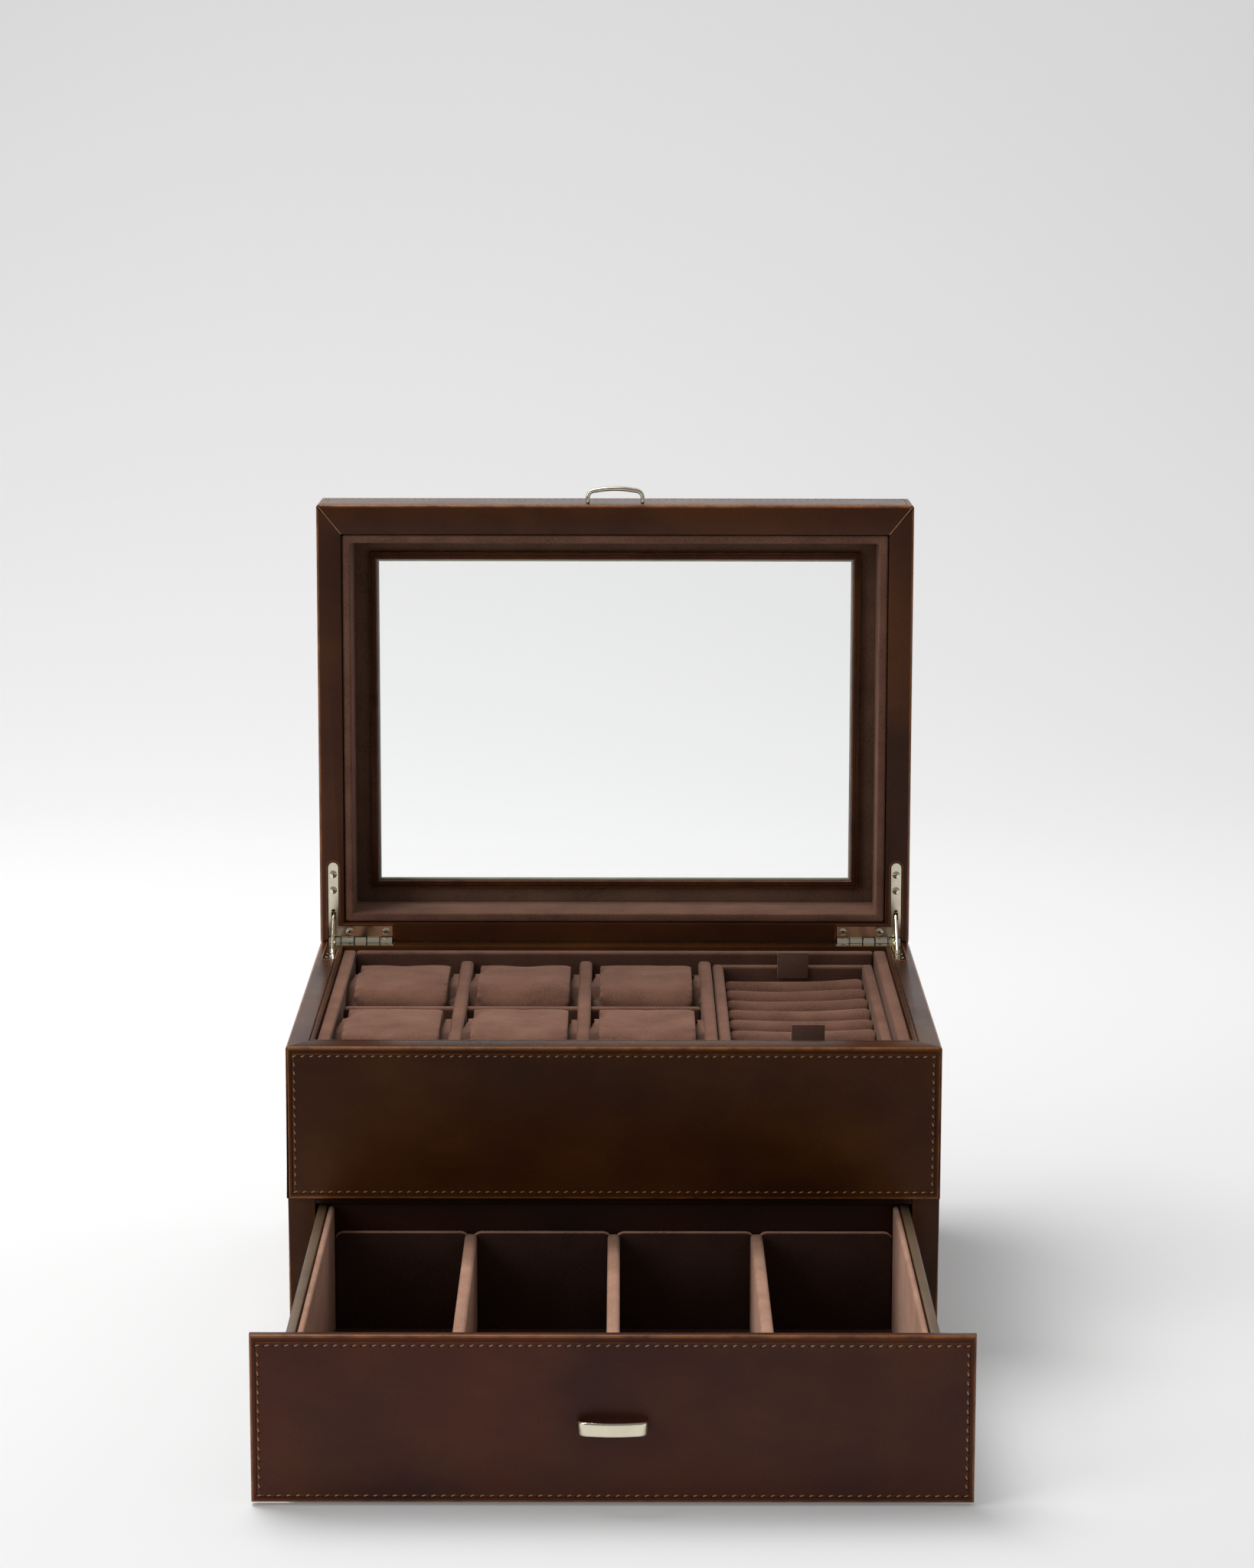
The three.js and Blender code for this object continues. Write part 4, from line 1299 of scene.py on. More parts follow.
@dataclass
class WatchCushions:
    """Six stuffed cushions, each a rolled body between two thin end pieces."""

    body_width: float = 43.8
    flange: float = 2.9
    shoulder: float = 4.4
    spread: float = 1.045
    fullness: float = 1.45
    trim: float = 0.8
    fill: float = 0.85

    def build(self, finishes: Finishes) -> None:
        """Builds the six cushions from one stuffed form.

        Args:
            finishes: the case's finishes.
        """
        form = self.form()
        for row in ("back", "front"):
            for label in ("left", "middle", "right"):
                self.cushion(form, Body(f"cushion_{row}_{label}"), finishes)
        bpy.data.meshes.remove(form)

    def form(self) -> bpy.types.Mesh:
        """The rolled part of a cushion, centred, swollen as stuffed cloth."""
        half = self.body_width / 2 - self.trim
        shaper = Shaper()
        shaper.slab(oval(34.6, 24.6, 3.0, 32), 2 * half)
        upright(shaper)
        shaper.shift(x=half)
        shaper.round(shaper.edges(lambda co: close(abs(co.x), half)), self.shoulder, 4)
        return stuffed(shaper, 0.0026, 0.0042)

    def cushion(self, form: bpy.types.Mesh, moving: Body, finishes: Finishes) -> None:
        """Places one cushion, with its end pieces.

        Args:
            form: the stuffed roll.
            moving: the cushion's body in the frame.
            finishes: the case's finishes.
        """
        name = moving.value
        node = f"watch_{name}"
        low, high = corners(node)
        middle = (low + high) / 2
        body = smoothed(form)
        reach = [max(abs(v.co[k]) for v in body.verts) for k in range(3)]
        limit = (self.body_width / 2, (high.y - low.y) / 2 - 0.1, (high.z - low.z) / 2)
        seed = sum(ord(letter) for letter in name)
        for vert in body.verts:
            vert.co.y *= limit[1] / reach[1]
            height = 1.0 - (1.0 - min(1.0, abs(vert.co.z) / reach[2])) ** self.fullness
            vert.co.z = math.copysign(limit[2] * height, vert.co.z)
            wide = vert.co.x * self.spread
            vert.co.x = max(-limit[0], min(limit[0], wide))
            ripple = noise.noise(vert.co * 0.045 + Vector((seed, 0.3 * seed, 0.0)))
            fine = noise.noise(vert.co * 0.16 + Vector((0.0, seed, 0.0)))
            pinch = 1.0 - abs(vert.co.x) / limit[0]
            sunk = (0.9 * (ripple + 0.5) + 0.25 * (fine + 0.5)) * pinch
            vert.co.z -= sunk if vert.co.z > 0 else -sunk
        body.transform(Matrix.Translation(middle))
        shaper = Shaper.of(body)
        for sign in (-1.0, 1.0):
            self.end_piece(shaper, middle, sign, high.x - middle.x, seed)
        # Painted shade by facing: the crests are marked lighter and the sides and ends darker.
        shaper.brush()
        made = shaper.finish(
            f"padded_{name}", moving, Slot.SUEDE, (finishes.facing_shaded_suede,), (node,), 3.0
        )

    def end_piece(
        self, shaper: Shaper, middle: Vector, sign: float, outside: float, seed: int
    ) -> None:
        """Adds the thin stuffed piece at one end of a cushion.

        Args:
            shaper: the cushion's mesh.
            middle: the cushion's middle.
            sign: -1 for its left end, 1 for its right.
            outside: how far its end is from the middle.
            seed: varies its height a little.
        """
        piece = Shaper()
        drop = 0.3 * math.sin(seed + sign)
        piece.slab(oval(33.6, 21.9 + drop, 3.0, 48), self.flange)
        upright(piece)
        rims = piece.edges(lambda co: close(co.x, 0.0))
        rims += piece.edges(lambda co: close(co.x, -self.flange))
        piece.round(rims, 1.2, 3)
        piece.shift(x=sign * (outside - self.flange / 2) + self.flange / 2)
        piece.shift(*middle)
        shaper.absorb(piece)


@dataclass
class RingTray:
    """The lift-out tray with its stuffed ring rolls and ribbon tabs."""

    rolls: int = 8
    wall: float = 5.2
    floor: float = 3.0
    fill: float = 0.9

    def build(self, finishes: Finishes) -> None:
        """Builds the tray, the rolls and the tabs.

        Args:
            finishes: the case's finishes.
        """
        self.tray(finishes)
        form = self.form()
        for number in range(1, self.rolls + 1):
            self.roll(form, number, finishes)
        bpy.data.meshes.remove(form)
        for label in ("back", "front"):
            self.tab(label, finishes)

    def tray(self, finishes: Finishes) -> None:
        """The tray: four walls and a floor, wrapped in suede."""
        low, high = corners("ring_tray")
        wall = self.wall
        shaper = Shaper()
        shaper.block(low, (high.x, high.y, low.z + self.floor))
        shaper.soften(0.6, 2)
        for lo, hi in (
            ((low.x, low.y, low.z), (low.x + wall, high.y, high.z)),
            ((high.x - wall, low.y, low.z), (high.x, high.y, high.z)),
            ((low.x + 0.6, low.y, low.z), (high.x - 0.6, low.y + wall, high.z - 0.15)),
            ((low.x + 0.6, high.y - wall, low.z), (high.x - 0.6, high.y, high.z - 0.15)),
        ):
            part = Shaper()
            part.block(lo, hi)
            part.soften(1.4, 3)
            shaper.absorb(part)
        # Painted shade by facing: the tops are marked lighter and the walls' sides darker.
        shaper.brush()
        shaper.finish(
            "suede_ring_tray", Body.RING_TRAY, Slot.SUEDE, (finishes.facing_shaded_suede,),
            ("ring_tray",), 1.2,
        )

    def form(self) -> bpy.types.Mesh:
        """One roll, centred on its base, swollen as stuffed cloth."""
        low, high = corners("ring_roll_1")
        half = (high.y - low.y) / 2 - 0.9
        height = high.z - low.z - 1.6
        length = high.x - low.x - 1.8
        shaper = Shaper()
        arch = [
            (half * math.cos(a), height - 11.0 + 11.0 * math.sin(a))
            for a in (math.pi * n / 12 for n in range(13))
        ]
        shaper.slab([(-half, 0.0), (half, 0.0), *arch], length)
        upright(shaper)
        shaper.shift(x=length / 2)
        shaper.round(shaper.edges(lambda co: close(abs(co.x), length / 2)), 1.6, 2)
        return stuffed(shaper, 0.0022, 0.0025)

    def roll(self, form: bpy.types.Mesh, number: int, finishes: Finishes) -> None:
        """Places one roll, bowed a little along its length.

        Args:
            form: the stuffed roll.
            number: which roll it is, from the back.
            finishes: the case's finishes.
        """
        node = f"ring_roll_{number}"
        low, high = corners(node)
        body = smoothed(form)
        xs, ys, zs = ([v.co[k] for v in body.verts] for k in range(3))
        west, east, south, north = min(xs), max(xs), min(ys), max(ys)
        foot, crest = min(zs), max(zs)
        length, width = high.x - low.x, high.y - low.y
        for vert in body.verts:
            along = (vert.co.x - west) / (east - west)
            along = max(0.0, min(1.0, 0.5 + 1.05 * (along - 0.5)))
            across = (vert.co.y - south) / (north - south)
            up = (vert.co.z - foot) / (crest - foot)
            sag = 1.3 * math.sin(math.pi * along) + 0.9 * (1.0 - along)
            sag += 0.5 * noise.noise(Vector((along * 2.4, number * 1.7, 0.0)))
            bow = 0.7 * math.sin(math.pi * along) * math.sin(number * 1.3)
            vert.co = Vector(
                (
                    low.x + 0.1 + along * (length - 0.2),
                    low.y + 0.2 + across * (width - 0.4) + bow * up * 0.5,
                    low.z + up * (high.z - low.z - sag + 0.6),
                )
            )
        shaper = Shaper.of(body)
        # Painted shade by facing: the crest is marked lighter and the sides and ends darker.
        shaper.brush()
        made = shaper.finish(
            f"padded_{node}", Body.RING_TRAY, Slot.SUEDE, (finishes.facing_shaded_suede,), (node,), 3.0
        )

    def tab(self, label: str, finishes: Finishes) -> None:
        """One ribbon tab, with a fine lighter edge.

        Args:
            label: back or front.
            finishes: the case's finishes.
        """
        node = f"ring_tray_tab_{label}"
        low, high = corners(node)
        shaper = Shaper()
        shaper.block(low, high)
        shaper.soften(0.45, 2)
        for face in shaper.bm.faces:
            face.material_index = 0 if abs(face.normal.y) > 0.9 else 1
        shaper.finish(
            f"ribbon_{node}", Body.RING_TRAY, Slot.RIBBON, (finishes.ribbon, finishes.suede),
            (node,),
        )


# ---------------------------------------------------------------- metalwork


@dataclass
class Pull:
    """A handle bent from flat strip, with softened edges."""

    name: str
    body: Body
    node: str
    height: float
    width: float = 28.6
    reach: float = 8.4
    strip: float = 2.0
    band: float = 6.0
    corner: float = 4.2
    crown: float = 0.9

    def build(self, finishes: Finishes) -> None:
        """Builds the pull by sweeping a strip's section along its bend.

        Args:
            finishes: the case's finishes.
        """
        path = self.bend()
        shaper = Shaper()
        inner = [self.inward(path, n) for n in range(len(path))]
        outline = [*path, *inner[::-1]]
        shaper.slab(outline, self.band)
        rims = [e for e in shaper.bm.edges if e.calc_face_angle(0.0) > 0.9]
        shaper.round(rims, 0.85, 4)
        shaper.shift(y=-HALF_DEPTH - 0.05, z=self.height + self.band / 2)
        shaper.finish(
            self.name, self.body, Slot.NICKEL, (finishes.nickel,), (self.node,), 1.0
        )

    def bend(self) -> list[Point]:
        """The strip's outside line, from the left foot over the bar to the right foot."""
        half, wide = self.width / 2, self.corner + 0.6
        leg = self.reach - self.crown - self.corner
        points: list[Point] = [(-half, 0.0), (-half, -leg * 0.6)]
        turn = wide - half
        for n in range(9):
            angle = math.pi - n * math.pi / 16
            points.append((turn + wide * math.cos(angle), -leg - self.corner * math.sin(angle)))
        for n in range(1, 8):
            x = turn * (1.0 - n / 8)
            rise = 1.0 - (x / turn) ** 2
            points.append((x, -(self.reach - self.crown) - self.crown * rise))
        mirrored = [(-x, y) for x, y in points][::-1]
        return [*points, (0.0, -self.reach), *mirrored]

    def inward(self, path: Sequence[Point], n: int) -> Point:
        """The point of the strip's inside line opposite one of its outside line.

        Args:
            path: the outside line.
            n: the point's number.

        Returns:
            The inside point.
        """
        before = Vector(path[max(n - 1, 0)])
        after = Vector(path[min(n + 1, len(path) - 1)])
        along = (after - before).normalized()
        normal = Vector((-along.y, along.x))
        point = Vector(path[n]) + normal * self.strip
        if n in (0, len(path) - 1):
            point.y = 0.0
        return (point.x, point.y)


@dataclass
class Hinges:
    """Screws for the leaves, and the metal's finish."""

    side_screws: tuple[float, float] = (25.7, 33.6)
    back_screws: tuple[float, float] = (10.4, 28.4)
    back_inset: float = 5.1
    head: float = 1.95
    barrel: tuple[float, float] = (109.4, 140.8)
    knuckles: int = 5
    gap_radius: float = 2.46
    arm_middle: float = 138.35
    outer: float = 140.8
    screw_top: float = 141.88

    def build(self, finishes: Finishes) -> None:
        """Dresses the hinges and sets their screws.

        Args:
            finishes: the case's finishes.
        """
        for label, sign in (("left", -1), ("right", 1)):
            for node in ("hinge_case_leaf", "hinge_lid_leaf", "hinge_pin", "stay_rod"):
                dress(f"{node}_{label}", finishes.nickel)
                soften_node(f"{node}_{label}")
            for body in (Body.CASE, Body.LID):
                self.screws(sign, label, body, finishes)
            self.knuckle_gaps(sign, label, finishes)
            for body in (Body.CASE, Body.LID):
                self.lip(sign, label, body, finishes)

    def lip(self, sign: int, label: str, body: Body, finishes: Finishes) -> None:
        """The leather that swells up round a leaf's pocket.

        Args:
            sign: -1 for the left hinge, 1 for the right.
            label: left or right.
            body: the case or the lid.
            finishes: the case's finishes.
        """
        height = MATING_Z - 0.55 if body is Body.CASE else MATING_Z + 0.55
        outline = leaf_outline(sign, 0.75)
        line = [Vector((x, min(y, HINGE_Y - 1.2), height)) for x, y in outline]
        ordered = line if sign > 0 else line[::-1]
        shaper = Shaper()
        shaper.tube([ordered[0], *ordered[:3:-1], *ordered[3:0:-1]], 0.50, 8)
        # The whole lip is marked three-quarters worn: worn leather with a painted highlight along
        # the swell.
        for vert in shaper.bm.verts:
            vert[shaper.wear_and_painted_light] = 0.75
        shaper.finish(
            f"{body.value}_hinge_lip_{label}", body, Slot.LEATHER, (finishes.rim_leather,),
            sharp=1.2,
        )

    def knuckle_gaps(self, sign: int, label: str, finishes: Finishes) -> None:
        """The dark joints between the barrel's knuckles.

        Args:
            sign: -1 for the left hinge, 1 for the right.
            label: left or right.
            finishes: the case's finishes.
        """
        shaper = Shaper()
        pitch = (self.barrel[1] - self.barrel[0]) / self.knuckles
        across = Matrix.Rotation(math.pi / 2, 4, "Y")
        for n in range(1, self.knuckles):
            spot = Matrix.Translation((sign * (self.barrel[0] + n * pitch), HINGE_Y, MATING_Z))
            bmesh.ops.create_cone(
                shaper.bm, cap_ends=True, segments=24, radius1=self.gap_radius,
                radius2=self.gap_radius, depth=0.45, matrix=spot @ across,
            )
        shaper.finish(
            f"hinge_knuckle_gaps_{label}", Body.CASE, Slot.NICKEL, (finishes.hole,), sharp=0.5
        )

    def spots(self, sign: int) -> list[Point]:
        """Where the four screws of a leaf are."""
        along = [(sign * self.arm_middle, HINGE_Y - d) for d in self.side_screws]
        across = [(sign * (self.outer - d), HINGE_Y - self.back_inset) for d in self.back_screws]
        return [*along, *across]

    def screws(self, sign: int, label: str, body: Body, finishes: Finishes) -> None:
        """The four countersunk cross-head screws of one leaf.

        Args:
            sign: -1 for the left hinge, 1 for the right.
            label: left or right.
            body: the case or the lid.
            finishes: the case's finishes.
        """
        shaper = Shaper()
        for n, (x, y) in enumerate(self.spots(sign)):
            self.screw(shaper, Vector((x, y, self.screw_top)), 0.5 + 1.1 * n)
        if body is Body.LID:
            shaper.flip()
        shaper.finish(
            f"{body.value}_hinge_screws_{label}", body, Slot.NICKEL,
            (finishes.nickel, finishes.hole), sharp=0.5,
        )

    def screw(self, shaper: Shaper, top: Vector, angle: float) -> None:
        """One screw head: a low dome with a cross recess.

        Args:
            shaper: the mesh to add to.
            top: the middle of its top.
            angle: how far its cross is turned.
        """
        place = Matrix.Translation(top - Vector((0, 0, 0.45)))
        made = bmesh.ops.create_cone(
            shaper.bm, cap_ends=True, segments=20, radius1=self.head * 0.75, radius2=self.head,
            depth=0.9, matrix=place,
        )["verts"]
        upper = {v for v in made if v.co.z > top.z - 0.1}
        rim = [e for e in shaper.bm.edges if upper.issuperset(e.verts)]
        shaper.round(rim, 0.22, 2)
        for turn in (angle, angle + math.pi / 2):
            bar = Matrix.Translation(top + Vector((0, 0, 0.01))) @ Matrix.Rotation(turn, 4, "Z")
            size = Matrix.Diagonal((1.5, 0.30, 0.05, 1.0))
            slot = bmesh.ops.create_cube(shaper.bm, size=1.0, matrix=bar @ size)["verts"]
            paint(slot, 1)


def soften_node(node: str) -> None:
    """Lets a metal frame node catch the light on its edges."""
    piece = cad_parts[node]
    bevel = piece.modifiers.new("edge", "BEVEL")
    bevel.width = 0.00022
    bevel.segments = 2
    bevel.limit_method = "ANGLE"
    bevel.angle_limit = math.radians(32)
    bevel.harden_normals = True
    for polygon in piece.data.polygons:
        polygon.use_smooth = True


# ---------------------------------------------------------------- lid


@dataclass(frozen=True)
class Span:
    """A rectangle seen from above, by its range in x and in y."""

    x0: float
    x1: float
    y0: float
    y1: float

    def grown(self, by: float) -> "Span":
        """The rectangle with each side moved out."""
        return Span(self.x0 - by, self.x1 + by, self.y0 - by, self.y1 + by)

    def holds(self, place: Vector) -> bool:
        """Whether a place lies within it."""
        return self.x0 <= place.x <= self.x1 and self.y0 <= place.y <= self.y1


INNER_WALL = Span(-132.7, 132.7, -94.3, 96.7)
WINDOW = Span(-117.6, 117.6, -79.2, 81.6)
FIRST_INSET = 1.0


def ring(
    outer: Span, inner: Span, low: float, high: float, rounding: float, worn_and_highlit: float = 0.0
) -> Shaper:
    """A flat frame round the window.

    Args:
        outer: its outside.
        inner: its opening.
        low: the height of its lower face.
        high: the height of its upper face.
        rounding: the radius of its edges.
        worn_and_highlit: how worn its edges are and how strongly their painted highlight shows,
            from 0 to 1.

    Returns:
        The frame's mesh.
    """
    shaper = Shaper()
    shaper.slab(rectangle(outer.x0, outer.x1, outer.y0, outer.y1), high - low)
    shaper.shift(z=high)
    flat = [f for f in shaper.bm.faces if abs(f.normal.z) > 0.9]
    bmesh.ops.inset_region(
        shaper.bm, faces=flat, thickness=FIRST_INSET, depth=0.0, use_even_offset=True
    )
    middle_x, middle_y = (outer.x0 + outer.x1) / 2, (outer.y0 + outer.y1) / 2
    for vert in shaper.bm.verts:
        if close(abs(vert.co.x - middle_x), (outer.x1 - outer.x0) / 2 - FIRST_INSET):
            vert.co.x = inner.x0 if vert.co.x < middle_x else inner.x1
            vert.co.y = inner.y0 if vert.co.y < middle_y else inner.y1
    opening = inner.grown(TOUCHING)
    covers = [
        f for f in shaper.bm.faces
        if abs(f.normal.z) > 0.9 and all(opening.holds(v.co) for v in f.verts)
    ]
    loops = [e for f in covers for e in f.edges]
    bmesh.ops.delete(shaper.bm, geom=covers, context="FACES_ONLY")
    bmesh.ops.bridge_loops(shaper.bm, edges=[e for e in loops if e.is_valid])
    bmesh.ops.recalc_face_normals(shaper.bm, faces=shaper.bm.faces)
    shaper.soften(rounding, 3, worn_and_highlit)
    return shaper


@dataclass
class Lid:
    """The glazed lid: four boards, the framed top, its suede and the pull."""

    bottom: float = 142.15
    top: float = 180.0
    ceiling: float = 175.7
    pull_height: float = 8.5

    def build(self, finishes: Finishes) -> None:
        """Builds the lid.

        Args:
            finishes: the case's finishes.
        """
        face = rectangle(-SHOW_HALF, SHOW_HALF, self.bottom, self.top)
        corner = (SHOW_HALF - 3.7, self.top - 3.6)
        Board(
            "lid_front", Body.LID, Facing.FRONT, face, FRONT_WALL, (WALL, WALL), rim_up=False,
            sewn=((-corner[0], self.bottom + 4.0), corner), nodes=("lid_board_front",),
            hide=Hide.RIM,
        ).build(finishes)
        back = Board(
            "lid_back", Body.LID, Facing.BACK, face, WALL, (WALL, WALL), rim_up=False,
            top_bevel=TOP_BEVEL, sewn=((-corner[0], self.bottom + 6.4), corner),
            nodes=("lid_board_back",), hide=Hide.RIM,
        ).build(finishes)
        for sign in (-1, 1):
            carve(back, hinge_pocket(sign, Body.LID), Body.LID)
        for facing, label, sign in ((Facing.LEFT, "left", -1), (Facing.RIGHT, "right", 1)):
            side = self.side(facing, label, sign).build(finishes)
            carve(side, hinge_pocket(sign, Body.LID), Body.LID)
        self.panel(finishes)
        self.liner(finishes)
        self.bezel(finishes)
        self.seams(finishes)
        self.glass_border(finishes)
        dress("lid_glass", finishes.glass)
        height = self.bottom + self.pull_height
        Pull("lid_handle", Body.LID, "lid_pull", height).build(finishes)

    def side(self, facing: Facing, label: str, sign: int) -> Board:
        """One side of the lid.

        Args:
            facing: which side it is.
            label: left or right.
            sign: -1 for left, 1 for right.

        Returns:
            The board.
        """
        outline = [
            (-HALF_DEPTH * sign, self.bottom),
            ((HALF_DEPTH - CHAMFER_RUN) * sign, self.bottom),
            (HALF_DEPTH * sign, self.bottom + CHAMFER_FALL),
            (HALF_DEPTH * sign, self.top),
            (-HALF_DEPTH * sign, self.top),
        ]
        ends = (FRONT_WALL, WALL) if sign > 0 else (WALL, FRONT_WALL)
        corner = (HALF_DEPTH - 3.8, self.top - 3.6)
        return Board(
            f"lid_{label}", Body.LID, facing, outline if sign > 0 else outline[::-1],
            WALL, ends, rim_up=False, nodes=(f"lid_board_{label}",), hide=Hide.RIM,
            sewn=((-corner[0], self.bottom + 6.4), corner),
        )

    def panel(self, finishes: Finishes) -> None:
        """The framed top: leather outside, dark suede inside."""
        # The frame's rounded edges are marked worn, with a painted highlight.
        ring(INNER_WALL, WINDOW, 178.4, self.top, 0.7, 0.8).finish(
            "lid_top_frame", Body.LID, Slot.LEATHER, (finishes.leather,), ("lid_top_panel",), 0.9
        )
        ring(INNER_WALL, WINDOW.grown(3.3), 176.0, 178.35, 0.3).finish(
            "lid_border_suede", Body.LID, Slot.SUEDE, (finishes.border_suede,)
        )
        threads = Shaper()
        sewn = WINDOW.grown(3.6)
        SEWING.around(threads, (sewn.x0, sewn.y0), (sewn.x1, sewn.y1))
        threads.shift(z=self.top)
        threads.finish(
            "lid_top_stitches", Body.LID, Slot.LEATHER,
            (finishes.leather, finishes.thread, finishes.hole),
        )

    def liner(self, finishes: Finishes) -> None:
        """The suede wall inside the lid."""
        ring(INNER_WALL, INNER_WALL.grown(-4.0), 143.15, self.ceiling, 1.2).finish(
            "lid_suede_liner", Body.LID, Slot.SUEDE, (finishes.suede,), ("lid_liner",), 1.2
        )

    def bezel(self, finishes: Finishes) -> None:
        """The leather frame that holds the glass, in two steps, its rounded edges fully worn with a
        painted highlight.
        """
        for name, reach, low, nodes in (
            ("window_frame_outer", 3.6, 172.9, ("window_bezel",)),
            ("window_frame_inner", 1.9, 172.4, ()),
        ):
            ring(WINDOW.grown(reach), WINDOW, low, self.ceiling, 0.55, 1.0).finish(
                name, Body.LID, Slot.LEATHER, (finishes.rim_leather,), nodes, 0.9
            )

    def glass_border(self, finishes: Finishes) -> None:
        """The pale ground edge of the glass, just inside the frame."""
        ring(WINDOW.grown(-0.05), WINDOW.grown(-1.1), 175.75, 175.95, 0.05).finish(
            "glass_ground_edge", Body.LID, Slot.GLASS, (finishes.glass_edge,)
        )

    def seams(self, finishes: Finishes) -> None:
        """The pale cut edges that show in the mitred front corners of the rim."""
        shaper = Shaper()
        height = self.bottom - 0.02
        for sign in (-1.0, 1.0):
            start = Vector((sign * 144.0, -108.2, height))
            end = Vector((sign * 133.1, -94.9, height))
            shaper.tube([start, start.lerp(end, 0.5), end], 0.22, 6)
        shaper.finish("lid_corner_seams", Body.LID, Slot.LEATHER, (finishes.cut_edge,))


# ---------------------------------------------------------------- drawer


@dataclass
class Drawer:
    """The drawer: stitched front, painted boards, suede lining, dividers and pull."""

    floor: float = 1.5
    front_top: float = 71.4
    front: float = 4.8
    lining: float = 2.7
    lining_floor: float = 1.7
    side_top: float = 67.3
    front_lining_top: float = 64.0
    back_lining_top: float = 56.0
    pull_height: float = 34.6

    def build(self, finishes: Finishes) -> None:
        """Builds the drawer.

        Args:
            finishes: the case's finishes.
        """
        half = HALF_WIDTH
        Board(
            "drawer_face", Body.DRAWER, Facing.FRONT,
            rectangle(-half, half, self.floor, self.front_top), self.front, rounding=1.3,
            sewn=((3.3 - half, self.floor + 3.1), (half - 3.3, self.front_top - 4.2)),
            nodes=("drawer_front",), hide=Hide.RUSSET,
        ).build(finishes)
        self.boards(finishes)
        self.line(finishes)
        # The dividers take the lighter copy of the suede: painted light.
        for number in (1, 2, 3):
            suede_block(f"drawer_divider_{number}", Body.DRAWER, finishes.painted_light_suede, 1.7)
        Pull("drawer_handle", Body.DRAWER, "drawer_pull", self.pull_height).build(finishes)

    def boards(self, finishes: Finishes) -> None:
        """The sides, back and bottom, with leather faces and painted edges."""
        for node in ("drawer_side_left", "drawer_side_right", "drawer_back", "drawer_bottom"):
            shaper = Shaper()
            shaper.block(*corners(node, Body.DRAWER))
            shaper.soften(0.5, 2)
            for face in shaper.bm.faces:
                face.material_index = 0 if abs(face.normal.z) > 0.5 else 1
            # The drawer back's faces take the shade-darkened leather: painted shade.
            sides = finishes.shade_darkened_leather if node == "drawer_back" else finishes.leather
            shaper.finish(
                f"painted_{node}", Body.DRAWER, Slot.PAINTED_BOARD,
                (finishes.edge_paint, sides), (node,), 0.9,
            )

    def line(self, finishes: Finishes) -> None:
        """The suede lining: a floor and four thin walls of different heights; the side and front
        walls and the back's tops take the lighter suede and the floor and the back's faces the
        darker one, as painted light and shade.
        """
        low, high = corners("drawer_lining", Body.DRAWER)
        left, right, near = low.x + self.lining, high.x - self.lining, low.y + self.lining
        shaper = Shaper()
        for start, end, rounding, finish in (
            (low, (high.x, high.y, low.z + self.lining_floor), 0.4, 1),
            (low, (left, high.y, self.side_top), 1.1, 0),
            ((right, low.y, low.z), (high.x, high.y, self.side_top), 1.1, 0),
            ((left, low.y, low.z), (right, near, self.front_lining_top), 1.1, 0),
        ):
            self.join(shaper, start, end, rounding, finish)
        back = high.y - self.lining
        for west, east in self.bays(left, right):
            end = (east, high.y, self.back_lining_top)
            self.join(shaper, (west, back, low.z), end, 1.2, 1, True)
        shaper.finish(
            "suede_drawer_lining", Body.DRAWER, Slot.SUEDE,
            (finishes.painted_light_suede, finishes.painted_shade_suede), ("drawer_lining",), 1.2,
        )

    def bays(self, left: float, right: float) -> list[tuple[float, float]]:
        """The range of each compartment across the drawer."""
        edges = [left]
        for number in (1, 2, 3):
            low, high = corners(f"drawer_divider_{number}", Body.DRAWER)
            middle = (low.x + high.x) / 2
            edges += [middle - 0.6, middle + 0.6]
        edges.append(right)
        return list(zip(edges[::2], edges[1::2]))

    def join(
        self, shaper: Shaper, low: Point, high: Point, rounding: float, finish: int,
        cornered: bool = False,
    ) -> None:
        """Adds one soft-edged wall to the lining.

        Args:
            shaper: the lining's mesh.
            low: the wall's lowest corner.
            high: its highest corner.
            rounding: the radius of its edges.
            finish: the index of its material, 0 for the painted-light suede and 1 for the
                painted-shade suede.
            cornered: whether its top corners are rounded off as well, and its upward faces given
                the painted-light suede.
        """
        part = Shaper()
        part.block(low, high)
        if cornered:
            upper = [
                e for e in part.bm.edges
                if all(close(v.co.z, high[2]) for v in e.verts)
                and abs(e.verts[0].co.y - e.verts[1].co.y) > 0.5
            ]
            part.round(upper, 4.0, 4)
        part.soften(rounding, 3)
        part.bm.normal_update()
        # Painted light and shade: upward faces of a cornered wall take the lighter suede, the rest
        # the given index.
        for face in part.bm.faces:
            face.material_index = 0 if cornered and face.normal.z > 0.3 else finish
        shaper.absorb(part)


# ---------------------------------------------------------------- studio


WHITE = (1.0, 1.0, 1.0)


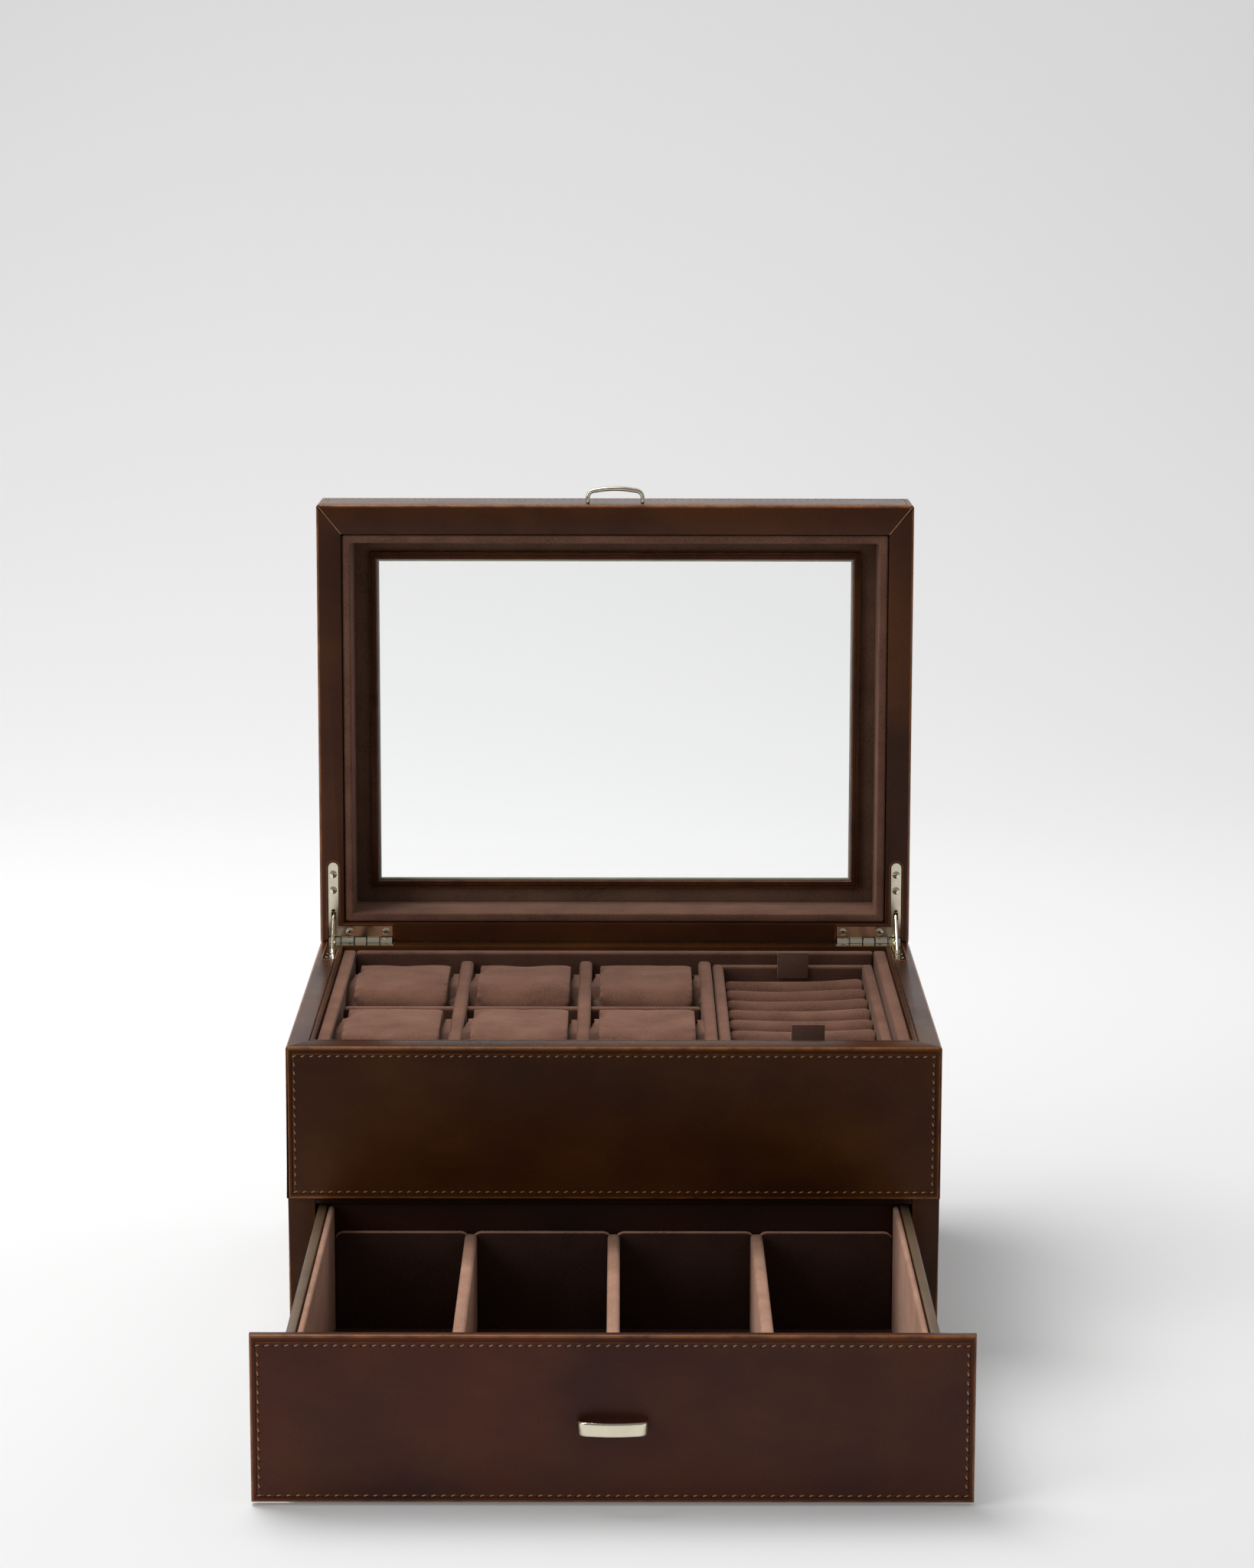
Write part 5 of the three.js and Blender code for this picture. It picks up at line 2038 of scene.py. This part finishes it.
@dataclass
class Studio:
    """A pale sweep, soft lights and the camera."""

    eye: Point = (0.002506, -1.86639, 0.57637)
    pitch: float = 10.21
    yaw: float = 0.10
    roll: float = 0.097
    lens: float = 94.07
    world_strength: float = 0.24
    bend: float = 1.3
    bend_start: float = 1.2
    half_span: float = 5.0

    def build(self) -> None:
        """Sets the studio up."""
        bpy.context.scene.view_settings.view_transform = "Standard"
        self.sweep()
        self.world()
        self.light("overhead", (-0.60, 0.45, 1.9), (0.0, 0.0, 0.15), (1.3, 1.1), 36.0)
        self.light("left_bank", (-1.9, -1.3, 1.3), (0.0, -0.1, 0.12), (1.2, 1.6), 17.0)
        self.light("right_edge", (2.1, 0.4, 1.1), (0.0, 0.0, 0.15), (0.8, 1.4), 3.0)
        self.light("backdrop", (0.0, 0.7, 1.7), (0.0, 2.3, 0.5), (3.0, 0.7), 6.0)
        self.camera()

    def sweep(self) -> None:
        """The floor, curving up into a backdrop."""
        shaper = Shaper()
        profile = [(-4.5, 0.0), (self.bend_start, 0.0)]
        profile += [
            (self.bend_start + self.bend * math.sin(a), self.bend - self.bend * math.cos(a))
            for a in (math.pi / 2 * n / 24 for n in range(1, 25))
        ]
        profile.append((self.bend_start + self.bend, 5.0))
        line = [shaper.bm.verts.new((-self.half_span, y, z)) for y, z in profile]
        strips = [shaper.bm.edges.new(pair) for pair in zip(line, line[1:])]
        made = bmesh.ops.extrude_edge_only(shaper.bm, edges=strips)["geom"]
        across = [g for g in made if isinstance(g, bmesh.types.BMVert)]
        bmesh.ops.translate(shaper.bm, verts=across, vec=(2 * self.half_span, 0.0, 0.0))
        for face in shaper.bm.faces:
            face.smooth = True
        floor = linked("sweep", shaper.written("sweep"))
        kit = Nodes("pale_sweep")
        tone = kit.mixed(kit.cloud(1.2, 2.0), opaque(WHITE, 0.675), opaque(WHITE, 0.69))
        kit.set(Base_Color=tone, Roughness=0.85, Emission_Color=opaque(WHITE))
        kit.set(Emission_Strength=0.15, Specular_IOR_Level=0.1)
        floor.data.materials.append(kit.material)

    def world(self) -> None:
        """Dim, even light from all round."""
        world = bpy.data.worlds.new("studio")
        world.use_nodes = True
        background = world.node_tree.nodes["Background"]
        background.inputs["Color"].default_value = opaque(WHITE)
        background.inputs["Strength"].default_value = self.world_strength
        bpy.context.scene.world = world

    def light(
        self, name: str, place: Point, aim: Point, size: tuple[float, float], power: float
    ) -> None:
        """Adds one soft light.

        Args:
            name: its name.
            place: where it is, in metres.
            aim: what it looks at.
            size: its width and height in metres.
            power: in watts.
        """
        data = bpy.data.lights.new(name, "AREA")
        data.shape = "RECTANGLE"
        data.size, data.size_y = size
        data.energy = power
        lamp = linked(name, data)
        lamp.location = place
        lamp.rotation_euler = (Vector(aim) - Vector(place)).to_track_quat("-Z", "Y").to_euler()

    def camera(self) -> None:
        """Places the camera."""
        pitch, yaw, roll = (math.radians(a) for a in (self.pitch, self.yaw, self.roll))
        ahead = Vector(
            (math.sin(yaw) * math.cos(pitch), math.cos(yaw) * math.cos(pitch), -math.sin(pitch))
        )
        side = ahead.cross(Vector((0, 0, 1))).normalized()
        above = side.cross(ahead)
        right = side * math.cos(roll) + above * math.sin(roll)
        up = above * math.cos(roll) - side * math.sin(roll)
        data = bpy.data.cameras.new("camera")
        data.lens = self.lens
        data.sensor_width = 36.0
        data.clip_start = 0.05
        camera = linked("camera", data)
        turn = Matrix((right, up, -ahead)).transposed().to_4x4()
        camera.matrix_world = Matrix.Translation(self.eye) @ turn
        bpy.context.scene.camera = camera


def main() -> None:
    """Builds the case and the studio."""
    logging.basicConfig(level=logging.INFO)
    finishes = Finishes()
    CaseWalls().build(finishes)
    TrayLining().build(finishes)
    WatchCushions().build(finishes)
    RingTray().build(finishes)
    Hinges().build(finishes)
    Lid().build(finishes)
    Drawer().build(finishes)
    Studio().build()


if __name__ == "__main__":
    main()
